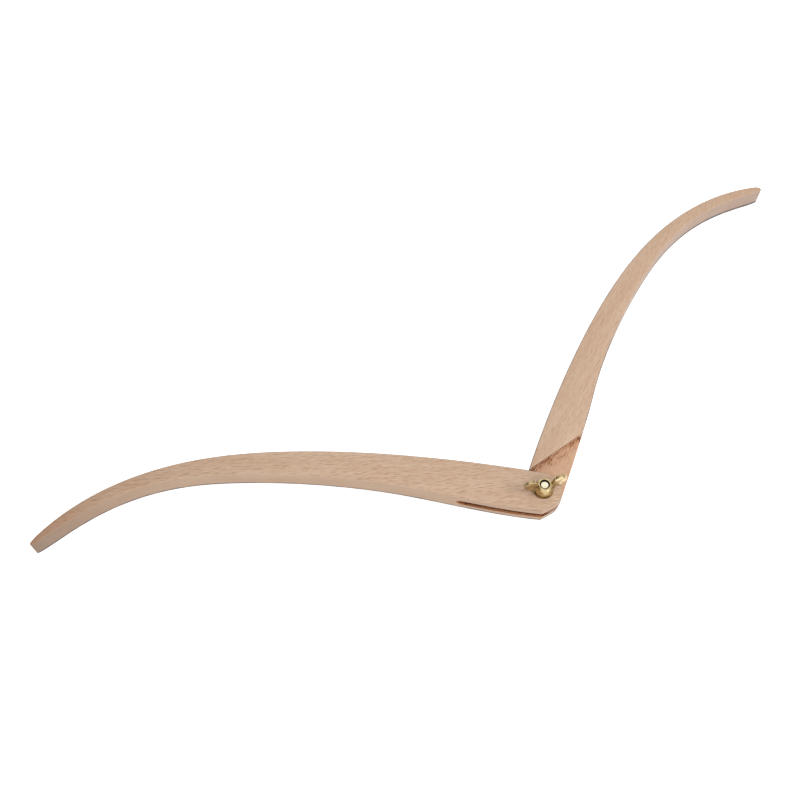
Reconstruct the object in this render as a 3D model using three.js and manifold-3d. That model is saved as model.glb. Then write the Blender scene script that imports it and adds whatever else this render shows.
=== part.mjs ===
// Wooden outside caliper: two bowed beech legs, joined by a slot and a tongue and clamped by a
// brass carriage bolt, a washer and a wing nut. Millimetres, +Z up.
//
// The origin is on the pivot axis, at the flat spot under the bolt head. The forked leg reaches
// along -X, and its bowed back faces +Y. The tongued leg stands wide open, against its stop.
//
// Both legs are drawn on one template, in flat coordinates: "along" runs from the pivot axis
// towards the tip, and "out" runs square to that, towards the bowed back. Hand shaping makes them
// differ a little: in how far they bow, and at the heel and the tip.
import * as THREE from 'three';
import { mergeVertices } from 'three/addons/utils/BufferGeometryUtils.js';
import Module from 'manifold-3d';

const wasm = await Module();
wasm.setup();

const DEG = Math.PI / 180;

// Both legs
const LEG_THICKNESS = 13;
const ARRIS = 0.6;
const NOSE_RADIUS = 11.5;

// Back: the outer edge, from the nose over its crown to the tip
const FORK_BOW = 45.3;
const TONGUE_BOW = 44;
const BACK_CROWN_ALONG = 182.5;
const BACK_START_SLOPE = 22 * DEG;
const BACK_END_SLOPE = 45.5 * DEG;
const BACK_START_PULL = 8.6;
const BACK_CROWN_PULL_IN = 79.5;
const BACK_CROWN_PULL_OUT = 65;
const BACK_END_PULL = 24;

// Belly: the inner edge, nearly straight from the heel to its start, then curved to the tip. Its
// crown lies past the back's crown by the lead.
const CROWN_WIDTH = 12.5;
const BELLY_START_ALONG = 77;
const BELLY_START_OUT = 10;
const BELLY_CROWN_LEAD = 22;
const BELLY_START_SLOPE = 18.5 * DEG;
const BELLY_END_SLOPE = 22.5 * DEG;
const BELLY_START_PULL = 56;
const BELLY_CROWN_PULL_IN = 21;
const BELLY_CROWN_PULL_OUT = 57;
const BELLY_END_PULL = 14;

// Tips: the corner that the rounding takes off, the cut from there to the back, and the rounding
const FORK_TIP_ALONG = 303.7;
const FORK_TIP_OUT = -2.1;
const FORK_CUT_ALONG = 4.8;
const FORK_CUT_OUT = 6.3;
const FORK_TIP_RADIUS = 1.05;
const TONGUE_TIP_ALONG = 302;
const TONGUE_TIP_OUT = -1;
const TONGUE_CUT_ALONG = 1.8;
const TONGUE_CUT_OUT = 5.5;
const TONGUE_TIP_RADIUS = 1.65;

// Heels: the inner corner beside the pivot, and how far the belly swells as it leaves it
const FORK_HEEL_ALONG = 2.8;
const FORK_HEEL_OUT = -13.7;
const FORK_HEEL_SWELL = 5 * DEG;
const TONGUE_HEEL_ALONG = 3;
const TONGUE_HEEL_OUT = -11.4;
const TONGUE_HEEL_SWELL = 1 * DEG;

// Slot and tongue
const OPEN_ANGLE = 132.92 * DEG;
const SLOT_WIDTH = 4.6;
const SLOT_CLEARANCE = 0.2;
const SLOT_EXTRA_DEPTH = 1.6;
const SHOULDER_GAP = 1.55;
const STOP_GAP = 0.3;

// Bolt, M5 by 20
const THREAD_RADIUS = 2.5;
const PITCH = 0.8;
const BOLT_LENGTH = 20;
const BOLT_END_CHAMFER = 0.3;
const HEAD_RADIUS = 6.75;
const HEAD_HEIGHT = 3;
const HEAD_RIM = 0.6;
const HEAD_FLAT = 2.5;
const NECK_ACROSS = 5.2;
const NECK_CORNER_RADIUS = 3.4;
const NECK_LENGTH = 3.9;
const NECK_CLEARANCE = 0.15;
const BOLT_CLEARANCE = 0.2;

// Thread form, in shares of the pitch
const THREAD_DEPTH = 0.6134;
const NUT_THREAD_DEPTH = 0.375;
const CREST_HALF_WIDTH = 0.0625;
const THREAD_FIT = 0.15;
const RIDGE_ROOTING = 0.05;
const FLANK_SLOPE = 30 * DEG;

// Washer
const WASHER_RADIUS = 6;
const WASHER_THICKNESS = 1.25;
const WASHER_EDGE = 0.3;

// Wing nut
const NUT_HEIGHT = 6.5;
const NUT_BASE_RADIUS = 5.5;
const NUT_TOP_RADIUS = 3.9;
const NUT_FOOT = 1.2;
const NUT_EDGE = 0.35;
const COUNTERSINK_RADIUS = 3;
const WING_ANGLE = 6.6 * DEG;
const WING_SPAN = 26;
const WING_TOP = 13;
const WING_THICKNESS = 2.1;
const WING_LOBE_RADIUS = 3.9;
const WING_ROOT_OUTER = 5.6;
const WING_ROOT_BOTTOM = 0.4;
const WING_ROOT_INNER = 2.9;
const WING_BEVEL = 0.45;

// Fits and fineness
const SEAT_GAP = 0.05;
const CUT_OVERRUN = 1;
const CURVE_STEPS = 16;
const ROUND_SIDES = 48;
const THREAD_STEPS = 16;

const LEG_BOTTOM = HEAD_HEIGHT + SEAT_GAP;
const LEG_MIDDLE = LEG_BOTTOM + LEG_THICKNESS / 2;
const LEG_TOP = LEG_BOTTOM + LEG_THICKNESS;
const BOLT_END = HEAD_HEIGHT + BOLT_LENGTH;
const BELLY_END_ANGLE = -BELLY_END_SLOPE - Math.PI / 2;
const SLOT_FLOOR = LEG_MIDDLE - SLOT_WIDTH / 2;
const SLOT_ROOF = LEG_MIDDLE + SLOT_WIDTH / 2;

const beech = new THREE.MeshStandardMaterial({ color: 0xd8b08c, roughness: 0.62, metalness: 0 });
const paleBeech = new THREE.MeshStandardMaterial({ color: 0xdcb694, roughness: 0.62, metalness: 0 });
const boltBrass = new THREE.MeshStandardMaterial({ color: 0xe3c878, roughness: 0.22, metalness: 1 });
const washerBrass = new THREE.MeshStandardMaterial({ color: 0x967846, roughness: 0.4, metalness: 1 });
const nutBrass = new THREE.MeshStandardMaterial({ color: 0xd2b060, roughness: 0.2, metalness: 1 });

// A closed geometry as a solid that can be cut and joined
function toSolid(geometry) {
  const bare = geometry.clone();
  bare.deleteAttribute('normal');
  bare.deleteAttribute('uv');
  const merged = mergeVertices(bare, 1e-5);
  return new wasm.Manifold(new wasm.Mesh({
    numProp: 3,
    vertProperties: new Float32Array(merged.attributes.position.array),
    triVerts: new Uint32Array(merged.index.array),
  }));
}

// A solid as a mesh under the name it goes by
function namedMesh(name, solid, material) {
  const { vertProperties, triVerts } = solid.getMesh();
  const geometry = new THREE.BufferGeometry();
  geometry.setAttribute('position', new THREE.BufferAttribute(vertProperties, 3));
  geometry.setIndex(new THREE.BufferAttribute(triVerts, 1));
  geometry.computeVertexNormals();
  const mesh = new THREE.Mesh(geometry, material);
  mesh.name = name;
  return mesh;
}

function prism(points, bottom, top) {
  const geometry = new THREE.ExtrudeGeometry(new THREE.Shape(points), {
    depth: top - bottom,
    bevelEnabled: false,
  });
  return toSolid(geometry.translate(0, 0, bottom));
}

// An upright cylinder whose first side starts on the X axis
function cylinder(radius, bottom, top, sides = ROUND_SIDES) {
  const geometry = new THREE.CylinderGeometry(radius, radius, top - bottom, sides, 1, false,
    Math.PI / 2);
  return toSolid(geometry.rotateX(Math.PI / 2).translate(0, 0, (top + bottom) / 2));
}

// A solid of revolution about Z, from [radius, height] pairs that start and end on the axis
function turned(profile) {
  const points = profile.map(([radius, height]) => new THREE.Vector2(radius, height));
  return toSolid(new THREE.LatheGeometry(points, ROUND_SIDES).rotateX(Math.PI / 2));
}

// The slope of the line from the heel to the belly's start, and its distance from the pivot axis
function heelLine(heel) {
  const slope = Math.atan2(BELLY_START_OUT - heel.y, BELLY_START_ALONG - heel.x);
  return { slope, reach: heel.x * Math.sin(slope) - heel.y * Math.cos(slope) };
}

// The angle at which the end cut beside the heel leaves the nose
function heelTangentAngle(heel) {
  return Math.atan2(heel.y, heel.x) - Math.acos(NOSE_RADIUS / heel.length());
}

// The point at a distance from another, in the direction of a slope
function reached(from, slope, distance) {
  return new THREE.Vector2(Math.cos(slope), Math.sin(slope)).multiplyScalar(distance).add(from);
}

function curveTo(shape, leaving, arriving, end) {
  shape.bezierCurveTo(leaving.x, leaving.y, arriving.x, arriving.y, end.x, end.y);
}

// The centre of the arc that rounds off a leg's tip
function tipCenter({ tip, cut, tipRadius }) {
  const halfCorner = (Math.PI - BELLY_END_SLOPE - cut.angle()) / 2;
  return reached(tip, cut.angle() + halfCorner, tipRadius / Math.sin(halfCorner));
}

// The belly, from the heel over its crown to the arc of the tip
function drawBelly(shape, leg) {
  const { bow, heel, swell, tipRadius } = leg;
  const start = new THREE.Vector2(BELLY_START_ALONG, BELLY_START_OUT);
  const crown = new THREE.Vector2(BACK_CROWN_ALONG + BELLY_CROWN_LEAD, bow - CROWN_WIDTH);
  const end = reached(tipCenter(leg), BELLY_END_ANGLE, tipRadius);
  const heelPull = heel.distanceTo(start) / 3;
  const heelHandle = reached(heel, heelLine(heel).slope - swell, heelPull);
  shape.moveTo(heel.x, heel.y);
  curveTo(shape, heelHandle, reached(start, BELLY_START_SLOPE, -heelPull), start);
  curveTo(
    shape,
    reached(start, BELLY_START_SLOPE, BELLY_START_PULL),
    reached(crown, 0, -BELLY_CROWN_PULL_IN),
    crown,
  );
  curveTo(
    shape,
    reached(crown, 0, BELLY_CROWN_PULL_OUT),
    reached(end, Math.PI - BELLY_END_SLOPE, BELLY_END_PULL),
    end,
  );
}

// The arc of the tip, the cut beside it, and the back over its crown to the nose
function drawBack(shape, leg, noseStart) {
  const { bow, tip, cut, tipRadius } = leg;
  const { x, y } = tipCenter(leg);
  const end = tip.clone().add(cut);
  const crown = new THREE.Vector2(BACK_CROWN_ALONG, bow);
  shape.absarc(x, y, tipRadius, BELLY_END_ANGLE, cut.angle() - Math.PI / 2, false);
  shape.lineTo(end.x, end.y);
  curveTo(
    shape,
    reached(end, Math.PI - BACK_END_SLOPE, BACK_END_PULL),
    reached(crown, 0, BACK_CROWN_PULL_OUT),
    crown,
  );
  curveTo(
    shape,
    reached(crown, 0, -BACK_CROWN_PULL_IN),
    reached(noseStart, BACK_START_SLOPE, BACK_START_PULL),
    noseStart,
  );
}

// One leg's outline on the template, counterclockwise from the heel
function legOutline(leg) {
  const noseAngle = Math.PI / 2 + BACK_START_SLOPE;
  const shape = new THREE.Shape();
  drawBelly(shape, leg);
  drawBack(shape, leg, reached(new THREE.Vector2(), noseAngle, NOSE_RADIUS));
  shape.absarc(0, 0, NOSE_RADIUS, noseAngle, heelTangentAngle(leg.heel) + 2 * Math.PI, false);
  return shape.getPoints(CURVE_STEPS);
}

// The whole leg before its joint is cut, with its long edges broken
function legBlank(outline) {
  const geometry = new THREE.ExtrudeGeometry(new THREE.Shape(outline), {
    depth: LEG_THICKNESS - 2 * ARRIS,
    bevelThickness: ARRIS,
    bevelSize: ARRIS,
    bevelOffset: -ARRIS,
    bevelSegments: 2,
  });
  return toSolid(geometry.translate(0, 0, LEG_BOTTOM + ARRIS));
}

// Everything on the pivot's side of a line that slopes down from the back to the belly
function jointSide(slope, reach) {
  const normal = new THREE.Vector2(Math.sin(slope), Math.cos(slope));
  const run = new THREE.Vector2(normal.y, -normal.x).multiplyScalar(BACK_CROWN_ALONG);
  const foot = normal.clone().multiplyScalar(reach);
  const back = normal.clone().multiplyScalar(reach - BACK_CROWN_ALONG);
  return [
    foot.clone().sub(run),
    back.clone().sub(run),
    back.clone().add(run),
    foot.clone().add(run),
  ];
}

function mirrored(points) {
  return points.map((point) => new THREE.Vector2(-point.x, point.y)).reverse();
}

// The forked leg's outline as the open tongued leg sees it, grown all round by the stop's gap
function stopOutline(forkOutline) {
  const away = new THREE.Vector2(Math.cos(OPEN_ANGLE), Math.sin(OPEN_ANGLE));
  const placed = forkOutline.map(({ x, y }) => new THREE.Vector2(
    x * away.x + y * away.y,
    x * away.y - y * away.x,
  )).reverse();
  return placed.map((point, index) => {
    const before = placed.at(index - 1);
    const after = placed[(index + 1) % placed.length];
    const edge = after.clone().sub(before).normalize();
    return new THREE.Vector2(point.x + edge.y * STOP_GAP, point.y - edge.x * STOP_GAP);
  });
}

function forkLeg(outline, shoulder) {
  const slot = mirrored(jointSide(shoulder.slope, shoulder.reach + SLOT_EXTRA_DEPTH));
  const neckHalf = NECK_ACROSS / 2 + NECK_CLEARANCE;
  const neckHole = new THREE.BoxGeometry(2 * neckHalf, 2 * neckHalf, LEG_THICKNESS);
  neckHole.translate(0, 0, SLOT_ROOF - LEG_THICKNESS / 2);
  return legBlank(mirrored(outline))
    .subtract(prism(slot, SLOT_FLOOR, SLOT_ROOF))
    .subtract(cylinder(THREAD_RADIUS + BOLT_CLEARANCE, LEG_MIDDLE, LEG_TOP + CUT_OVERRUN))
    .subtract(toSolid(neckHole));
}

function tongueLeg(outline, forkOutline, shoulder) {
  const rebate = jointSide(shoulder.slope, shoulder.reach);
  const stop = stopOutline(forkOutline);
  const through = [LEG_BOTTOM - CUT_OVERRUN, LEG_TOP + CUT_OVERRUN];
  const under = [through[0], SLOT_FLOOR + SLOT_CLEARANCE];
  const over = [SLOT_ROOF - SLOT_CLEARANCE, through[1]];
  return legBlank(outline)
    .subtract(prism(rebate, ...under))
    .subtract(prism(rebate, ...over))
    .subtract(prism(stop, ...under))
    .subtract(prism(stop, ...over))
    .subtract(cylinder(THREAD_RADIUS + BOLT_CLEARANCE, ...through));
}

// The ridge of a right-hand thread, wound up the Z axis so that every ridge here is in step
function threadRidge(bottom, top, baseRadius, growth) {
  const halfWidthAt = (radius) => CREST_HALF_WIDTH * PITCH
    + (THREAD_RADIUS - radius) * Math.tan(FLANK_SLOPE) + growth / Math.cos(FLANK_SLOPE);
  const crestRadius = THREAD_RADIUS + growth;
  const section = [
    [baseRadius, -halfWidthAt(baseRadius)],
    [crestRadius, -halfWidthAt(crestRadius)],
    [crestRadius, halfWidthAt(crestRadius)],
    [baseRadius, halfWidthAt(baseRadius)],
  ];
  const firstStep = (Math.floor(bottom / PITCH) - 1) * THREAD_STEPS;
  const lastStep = (Math.ceil(top / PITCH) + 1) * THREAD_STEPS;
  const positions = [];
  const triangles = [];
  for (let step = firstStep; step <= lastStep; step += 1) {
    const turn = (step / THREAD_STEPS) * 2 * Math.PI;
    for (const [radius, height] of section) {
      positions.push(radius * Math.cos(turn), radius * Math.sin(turn));
      positions.push(height + (step / THREAD_STEPS) * PITCH);
    }
    if (step === lastStep) break;
    const ring = (step - firstStep) * section.length;
    for (let side = 0; side < section.length; side += 1) {
      const near = ring + side;
      const next = ring + ((side + 1) % section.length);
      triangles.push(near, near + section.length, next + section.length);
      triangles.push(near, next + section.length, next);
    }
  }
  const last = (lastStep - firstStep) * section.length;
  triangles.push(0, 1, 2, 0, 2, 3);
  triangles.push(last, last + 2, last + 1, last, last + 3, last + 2);
  const geometry = new THREE.BufferGeometry();
  geometry.setAttribute('position', new THREE.Float32BufferAttribute(positions, 3));
  geometry.setIndex(triangles);
  return toSolid(geometry);
}

// A threaded length: a core with the ridge wound on it, cut square at both ends
function threadedLength(bottom, top, depth, growth) {
  const coreRadius = THREAD_RADIUS - depth * PITCH;
  const baseRadius = coreRadius - RIDGE_ROOTING * PITCH;
  return cylinder(coreRadius, bottom - 2 * PITCH, top + 2 * PITCH, THREAD_STEPS)
    .add(threadRidge(bottom, top, baseRadius, growth))
    .intersect(cylinder(2 * THREAD_RADIUS, bottom, top));
}

function domedHead() {
  const dome = HEAD_HEIGHT - HEAD_RIM;
  const steps = [0, 1, 2, 3, 4, 5, 6];
  const curve = steps.map((step) => {
    const angle = (step / 6) * (Math.PI / 2);
    return [
      HEAD_FLAT + (HEAD_RADIUS - HEAD_FLAT) * Math.sin(angle),
      dome * (1 - Math.cos(angle)),
    ];
  });
  return turned([[0, 0], ...curve, [HEAD_RADIUS, HEAD_HEIGHT], [0, HEAD_HEIGHT]]);
}

function squareNeck() {
  const top = HEAD_HEIGHT + NECK_LENGTH;
  const square = new THREE.BoxGeometry(NECK_ACROSS, NECK_ACROSS, top);
  return toSolid(square.translate(0, 0, top / 2))
    .intersect(cylinder(NECK_CORNER_RADIUS, HEAD_HEIGHT / 2, top));
}

function carriageBolt() {
  const shankBottom = HEAD_HEIGHT + NECK_LENGTH / 2;
  const chamferedEnd = turned([
    [0, shankBottom],
    [2 * THREAD_RADIUS, shankBottom],
    [2 * THREAD_RADIUS, BOLT_END - BOLT_END_CHAMFER - THREAD_RADIUS],
    [THREAD_RADIUS - BOLT_END_CHAMFER, BOLT_END],
    [0, BOLT_END],
  ]);
  const shank = threadedLength(shankBottom, BOLT_END, THREAD_DEPTH, 0);
  return domedHead().add(squareNeck()).add(shank.intersect(chamferedEnd));
}

function washer() {
  const radius = WASHER_RADIUS;
  const top = WASHER_THICKNESS;
  return turned([
    [0, 0],
    [radius - WASHER_EDGE, 0],
    [radius, WASHER_EDGE],
    [radius, top - WASHER_EDGE],
    [radius - WASHER_EDGE, top],
    [0, top],
  ]).subtract(cylinder(THREAD_RADIUS + BOLT_CLEARANCE, -CUT_OVERRUN, top + CUT_OVERRUN));
}

// One wing, standing in the XZ plane on the +X side: a round lobe on a tapered root
function wing() {
  const lobe = new THREE.Vector2(WING_SPAN / 2 - WING_LOBE_RADIUS, WING_TOP - WING_LOBE_RADIUS);
  const rootBottom = new THREE.Vector2(WING_ROOT_OUTER, WING_ROOT_BOTTOM);
  const rootTop = new THREE.Vector2(NUT_TOP_RADIUS - NUT_EDGE, NUT_HEIGHT - NUT_EDGE);
  const tangentAngle = (point, side) => {
    const reach = point.clone().sub(lobe);
    return reach.angle() + side * Math.acos(WING_LOBE_RADIUS / reach.length());
  };
  const outline = new THREE.Shape();
  outline.moveTo(WING_ROOT_INNER, rootTop.y);
  outline.lineTo(WING_ROOT_INNER, rootBottom.y);
  outline.lineTo(rootBottom.x, rootBottom.y);
  outline.absarc(
    lobe.x,
    lobe.y,
    WING_LOBE_RADIUS,
    tangentAngle(rootBottom, 1),
    tangentAngle(rootTop, -1) + 2 * Math.PI,
    false,
  );
  outline.lineTo(rootTop.x, rootTop.y);
  const geometry = new THREE.ExtrudeGeometry(outline, {
    depth: WING_THICKNESS - 2 * WING_BEVEL,
    bevelThickness: WING_BEVEL,
    bevelSize: WING_BEVEL,
    bevelOffset: -WING_BEVEL,
    bevelSegments: 2,
    curveSegments: CURVE_STEPS,
  });
  geometry.translate(0, 0, WING_BEVEL - WING_THICKNESS / 2);
  return geometry.rotateX(Math.PI / 2);
}

// The wing nut, standing on Z = 0, threaded in step with the bolt once it stands at seatHeight
function wingNut(seatHeight) {
  const boss = turned([
    [0, 0],
    [NUT_BASE_RADIUS - NUT_EDGE, 0],
    [NUT_BASE_RADIUS, NUT_EDGE],
    [NUT_BASE_RADIUS, NUT_FOOT],
    [NUT_TOP_RADIUS, NUT_HEIGHT - NUT_EDGE],
    [NUT_TOP_RADIUS - NUT_EDGE, NUT_HEIGHT],
    [0, NUT_HEIGHT],
  ]);
  const countersink = turned([
    [0, NUT_HEIGHT - COUNTERSINK_RADIUS],
    [COUNTERSINK_RADIUS, NUT_HEIGHT],
    [COUNTERSINK_RADIUS, NUT_HEIGHT + CUT_OVERRUN],
    [0, NUT_HEIGHT + CUT_OVERRUN],
  ]);
  const bore = threadedLength(
    seatHeight - CUT_OVERRUN,
    seatHeight + NUT_HEIGHT + CUT_OVERRUN,
    NUT_THREAD_DEPTH,
    THREAD_FIT * PITCH,
  );
  return boss
    .add(toSolid(wing().rotateZ(WING_ANGLE)))
    .add(toSolid(wing().rotateZ(WING_ANGLE + Math.PI)))
    .subtract(countersink)
    .subtract(bore.translate([0, 0, -seatHeight]));
}

const forkShape = {
  bow: FORK_BOW,
  heel: new THREE.Vector2(FORK_HEEL_ALONG, FORK_HEEL_OUT),
  swell: FORK_HEEL_SWELL,
  tip: new THREE.Vector2(FORK_TIP_ALONG, FORK_TIP_OUT),
  cut: new THREE.Vector2(-FORK_CUT_ALONG, FORK_CUT_OUT),
  tipRadius: FORK_TIP_RADIUS,
};
const tongueShape = {
  bow: TONGUE_BOW,
  heel: new THREE.Vector2(TONGUE_HEEL_ALONG, TONGUE_HEEL_OUT),
  swell: TONGUE_HEEL_SWELL,
  tip: new THREE.Vector2(TONGUE_TIP_ALONG, TONGUE_TIP_OUT),
  cut: new THREE.Vector2(-TONGUE_CUT_ALONG, TONGUE_CUT_OUT),
  tipRadius: TONGUE_TIP_RADIUS,
};
const forkOutline = legOutline(forkShape);
const forkBelly = heelLine(forkShape.heel);

// Shut, the fork's belly lies along the tongue's shoulder, so one gives the other
const shoulder = { slope: forkBelly.slope, reach: forkBelly.reach + SHOULDER_GAP };
const washerSeat = LEG_TOP + SEAT_GAP;
const nutSeat = washerSeat + WASHER_THICKNESS + SEAT_GAP;

const openLeg = new THREE.Group();
openLeg.rotation.z = Math.PI - OPEN_ANGLE;
openLeg.add(namedMesh(
  'tongue_leg',
  tongueLeg(legOutline(tongueShape), forkOutline, shoulder),
  paleBeech,
));

const washerMesh = namedMesh('washer', washer(), washerBrass);
washerMesh.position.z = washerSeat;

const nutMesh = namedMesh('wing_nut', wingNut(nutSeat), nutBrass);
nutMesh.position.z = nutSeat;

const caliper = new THREE.Group();
caliper.add(namedMesh('fork_leg', forkLeg(forkOutline, shoulder), beech));
caliper.add(namedMesh('carriage_bolt', carriageBolt(), boltBrass));
caliper.add(openLeg, washerMesh, nutMesh);

export default caliper;
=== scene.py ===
"""The wooden outside caliper, dressed: beech legs, brass bolt, washer and wing nut, in a studio.

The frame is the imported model's. The pivot axis is Z, the forked leg reaches along -X, and the
tongued leg stands wide open. Every size in the pieces' classes is in millimetres, and a finished
piece is brought to metres in one step.
"""

import logging
import math
from collections.abc import Callable, Iterable
from dataclasses import dataclass, field, replace
from enum import Enum

import bmesh
import bpy
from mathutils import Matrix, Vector


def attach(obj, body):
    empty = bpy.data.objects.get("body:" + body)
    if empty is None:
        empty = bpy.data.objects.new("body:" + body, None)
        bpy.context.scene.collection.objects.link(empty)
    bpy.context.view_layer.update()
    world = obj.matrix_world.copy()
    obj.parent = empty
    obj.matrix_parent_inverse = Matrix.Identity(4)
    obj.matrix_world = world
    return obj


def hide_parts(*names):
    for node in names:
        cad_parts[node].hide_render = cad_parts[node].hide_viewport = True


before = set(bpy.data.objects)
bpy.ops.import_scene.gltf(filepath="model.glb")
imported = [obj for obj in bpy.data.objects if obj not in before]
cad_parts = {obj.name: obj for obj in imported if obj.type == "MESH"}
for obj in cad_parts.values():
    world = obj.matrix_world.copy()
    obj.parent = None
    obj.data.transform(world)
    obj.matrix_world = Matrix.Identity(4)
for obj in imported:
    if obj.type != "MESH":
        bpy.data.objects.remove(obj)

log = logging.getLogger("caliper")

Colour = tuple[float, float, float]
Point = tuple[float, float]

METRES_PER_MILLIMETRE = 0.001
MILLIMETRES_PER_METRE = 1000
# Half the width of the blocks that cut the joint, in millimetres
CUTTER_SPAN = 120.0


class Body(Enum):
    """The moving bodies that pieces ride on."""

    FORK = "forked_leg"
    TONGUE = "tongued_leg"
    WASHER = "loose_washer"
    NUT = "nut"


def linear(red: int, green: int, blue: int) -> Colour:
    """Turn a colour as seen on screen into the linear one that shaders take.

    Args:
        red: Red, from 0 to 255.
        green: Green, from 0 to 255.
        blue: Blue, from 0 to 255.

    Returns:
        The linear colour.
    """
    def channel(value: float) -> float:
        """Linearise one channel from 0 to 1."""
        return value / 12.92 if value <= 0.04045 else ((value + 0.055) / 1.055) ** 2.4

    return channel(red / 255), channel(green / 255), channel(blue / 255)


# Modelling


def deselect() -> None:
    """Leave no object selected or in edit mode."""
    if bpy.context.mode != "OBJECT":
        bpy.ops.object.mode_set(mode="OBJECT")
    bpy.ops.object.select_all(action="DESELECT")


def pick(piece: bpy.types.Object) -> None:
    """Make one object the only one selected, and the active one."""
    deselect()
    piece.select_set(True)
    bpy.context.view_layer.objects.active = piece


def edit(piece: bpy.types.Object, action: str = "SELECT") -> None:
    """Enter edit mode on a piece with everything selected, or nothing.

    Args:
        piece: The mesh to edit.
        action: SELECT or DESELECT.
    """
    pick(piece)
    bpy.ops.object.mode_set(mode="EDIT")
    bpy.ops.mesh.select_all(action=action)


def leave_edit() -> None:
    """Go back to object mode."""
    bpy.ops.object.mode_set(mode="OBJECT")


def settle(piece: bpy.types.Object) -> None:
    """Put a piece's place into its mesh, so that its object sits unturned at the origin."""
    pick(piece)
    bpy.ops.object.transform_apply(location=True, rotation=True, scale=True)


def clean(piece: bpy.types.Object, distance: float = 1e-4) -> None:
    """Merge a mesh's doubled corners and turn its faces outwards.

    Args:
        piece: The mesh.
        distance: How close two corners are to be one, in the mesh's own unit.
    """
    edit(piece)
    bpy.ops.mesh.remove_doubles(threshold=distance)
    bpy.ops.mesh.normals_make_consistent(inside=False)
    leave_edit()


def apply_modifier(piece: bpy.types.Object, kind: str, **settings: object) -> None:
    """Add a modifier to a piece and apply it.

    Args:
        piece: The mesh.
        kind: The modifier's type.
        settings: Its settings by name.
    """
    pick(piece)
    modifier = piece.modifiers.new(kind.title(), kind)
    for key, value in settings.items():
        setattr(modifier, key, value)
    bpy.ops.object.modifier_apply(modifier=modifier.name)


def combine(
    piece: bpy.types.Object, others: Iterable[bpy.types.Object], operation: str = "DIFFERENCE"
) -> None:
    """Cut others out of a piece, or join or intersect it with them, and use them up.

    Args:
        piece: The mesh that is kept.
        others: The meshes that work on it.
        operation: DIFFERENCE, UNION or INTERSECT.
    """
    for other in others:
        apply_modifier(piece, "BOOLEAN", object=other, operation=operation, solver="EXACT")
        bpy.data.objects.remove(other)


def join(piece: bpy.types.Object, others: Iterable[bpy.types.Object]) -> None:
    """Gather other meshes into a piece's mesh.

    Args:
        piece: The mesh that is kept.
        others: The meshes that go into it.
    """
    deselect()
    for other in others:
        other.select_set(True)
    piece.select_set(True)
    bpy.context.view_layer.objects.active = piece
    bpy.ops.object.join()


def finish_piece(piece: bpy.types.Object, name: str, smooth_angle: float) -> bpy.types.Object:
    """Bring a piece from millimetres to metres, smooth it and name it.

    Args:
        piece: The mesh, in millimetres.
        name: The piece's name.
        smooth_angle: Edges flatter than this many degrees are shaded smooth.

    Returns:
        The piece.
    """
    piece.name = name
    piece.scale = (METRES_PER_MILLIMETRE,) * 3
    settle(piece)
    bpy.ops.object.shade_smooth_by_angle(angle=math.radians(smooth_angle))
    return piece


def turned(name: str, rings: list[Point], sides: int) -> bpy.types.Object:
    """Turn a solid on the Z axis by raising a disc ring by ring.

    Args:
        name: The object's name.
        rings: Radius and height of each ring, from the first flat disc to the last.
        sides: How many sides the rings have.

    Returns:
        The closed mesh.
    """
    deselect()
    radius, height = rings[0]
    bpy.ops.mesh.primitive_circle_add(
        vertices=sides, radius=radius, fill_type="NGON", location=(0, 0, height)
    )
    piece = bpy.context.object
    piece.name = name
    settle(piece)
    edit(piece)
    for next_radius, next_height in rings[1:]:
        bpy.ops.mesh.extrude_region_move(
            TRANSFORM_OT_translate={"value": (0, 0, next_height - height)}
        )
        ratio = next_radius / radius
        bpy.ops.transform.resize(value=(ratio, ratio, 1), center_override=(0, 0, 0))
        radius, height = next_radius, next_height
    leave_edit()
    clean(piece)
    return piece


@dataclass(frozen=True)
class Knot:
    """One point of a flat outline with the handles on either side of it, in millimetres."""

    at: Point
    before: Point | None = None
    after: Point | None = None


def arc(centre: Point, radius: float, start: float, end: float, parts: int) -> list[Knot]:
    """Draw a round stretch of an outline, counterclockwise.

    Args:
        centre: The arc's centre.
        radius: Its radius.
        start: The angle that it starts at, in radians.
        end: The angle that it ends at, in radians.
        parts: How many curve stretches it is made of.

    Returns:
        Its knots, the first with no handle before it and the last with none after it.
    """
    pull = radius * 4 / 3 * math.tan((end - start) / parts / 4)
    knots = []
    for step in range(parts + 1):
        angle = start + (end - start) * step / parts
        x, y = centre[0] + radius * math.cos(angle), centre[1] + radius * math.sin(angle)
        dx, dy = -math.sin(angle) * pull, math.cos(angle) * pull
        before = None if step == 0 else (x - dx, y - dy)
        after = None if step == parts else (x + dx, y + dy)
        knots.append(Knot((x, y), before, after))
    return knots


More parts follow.
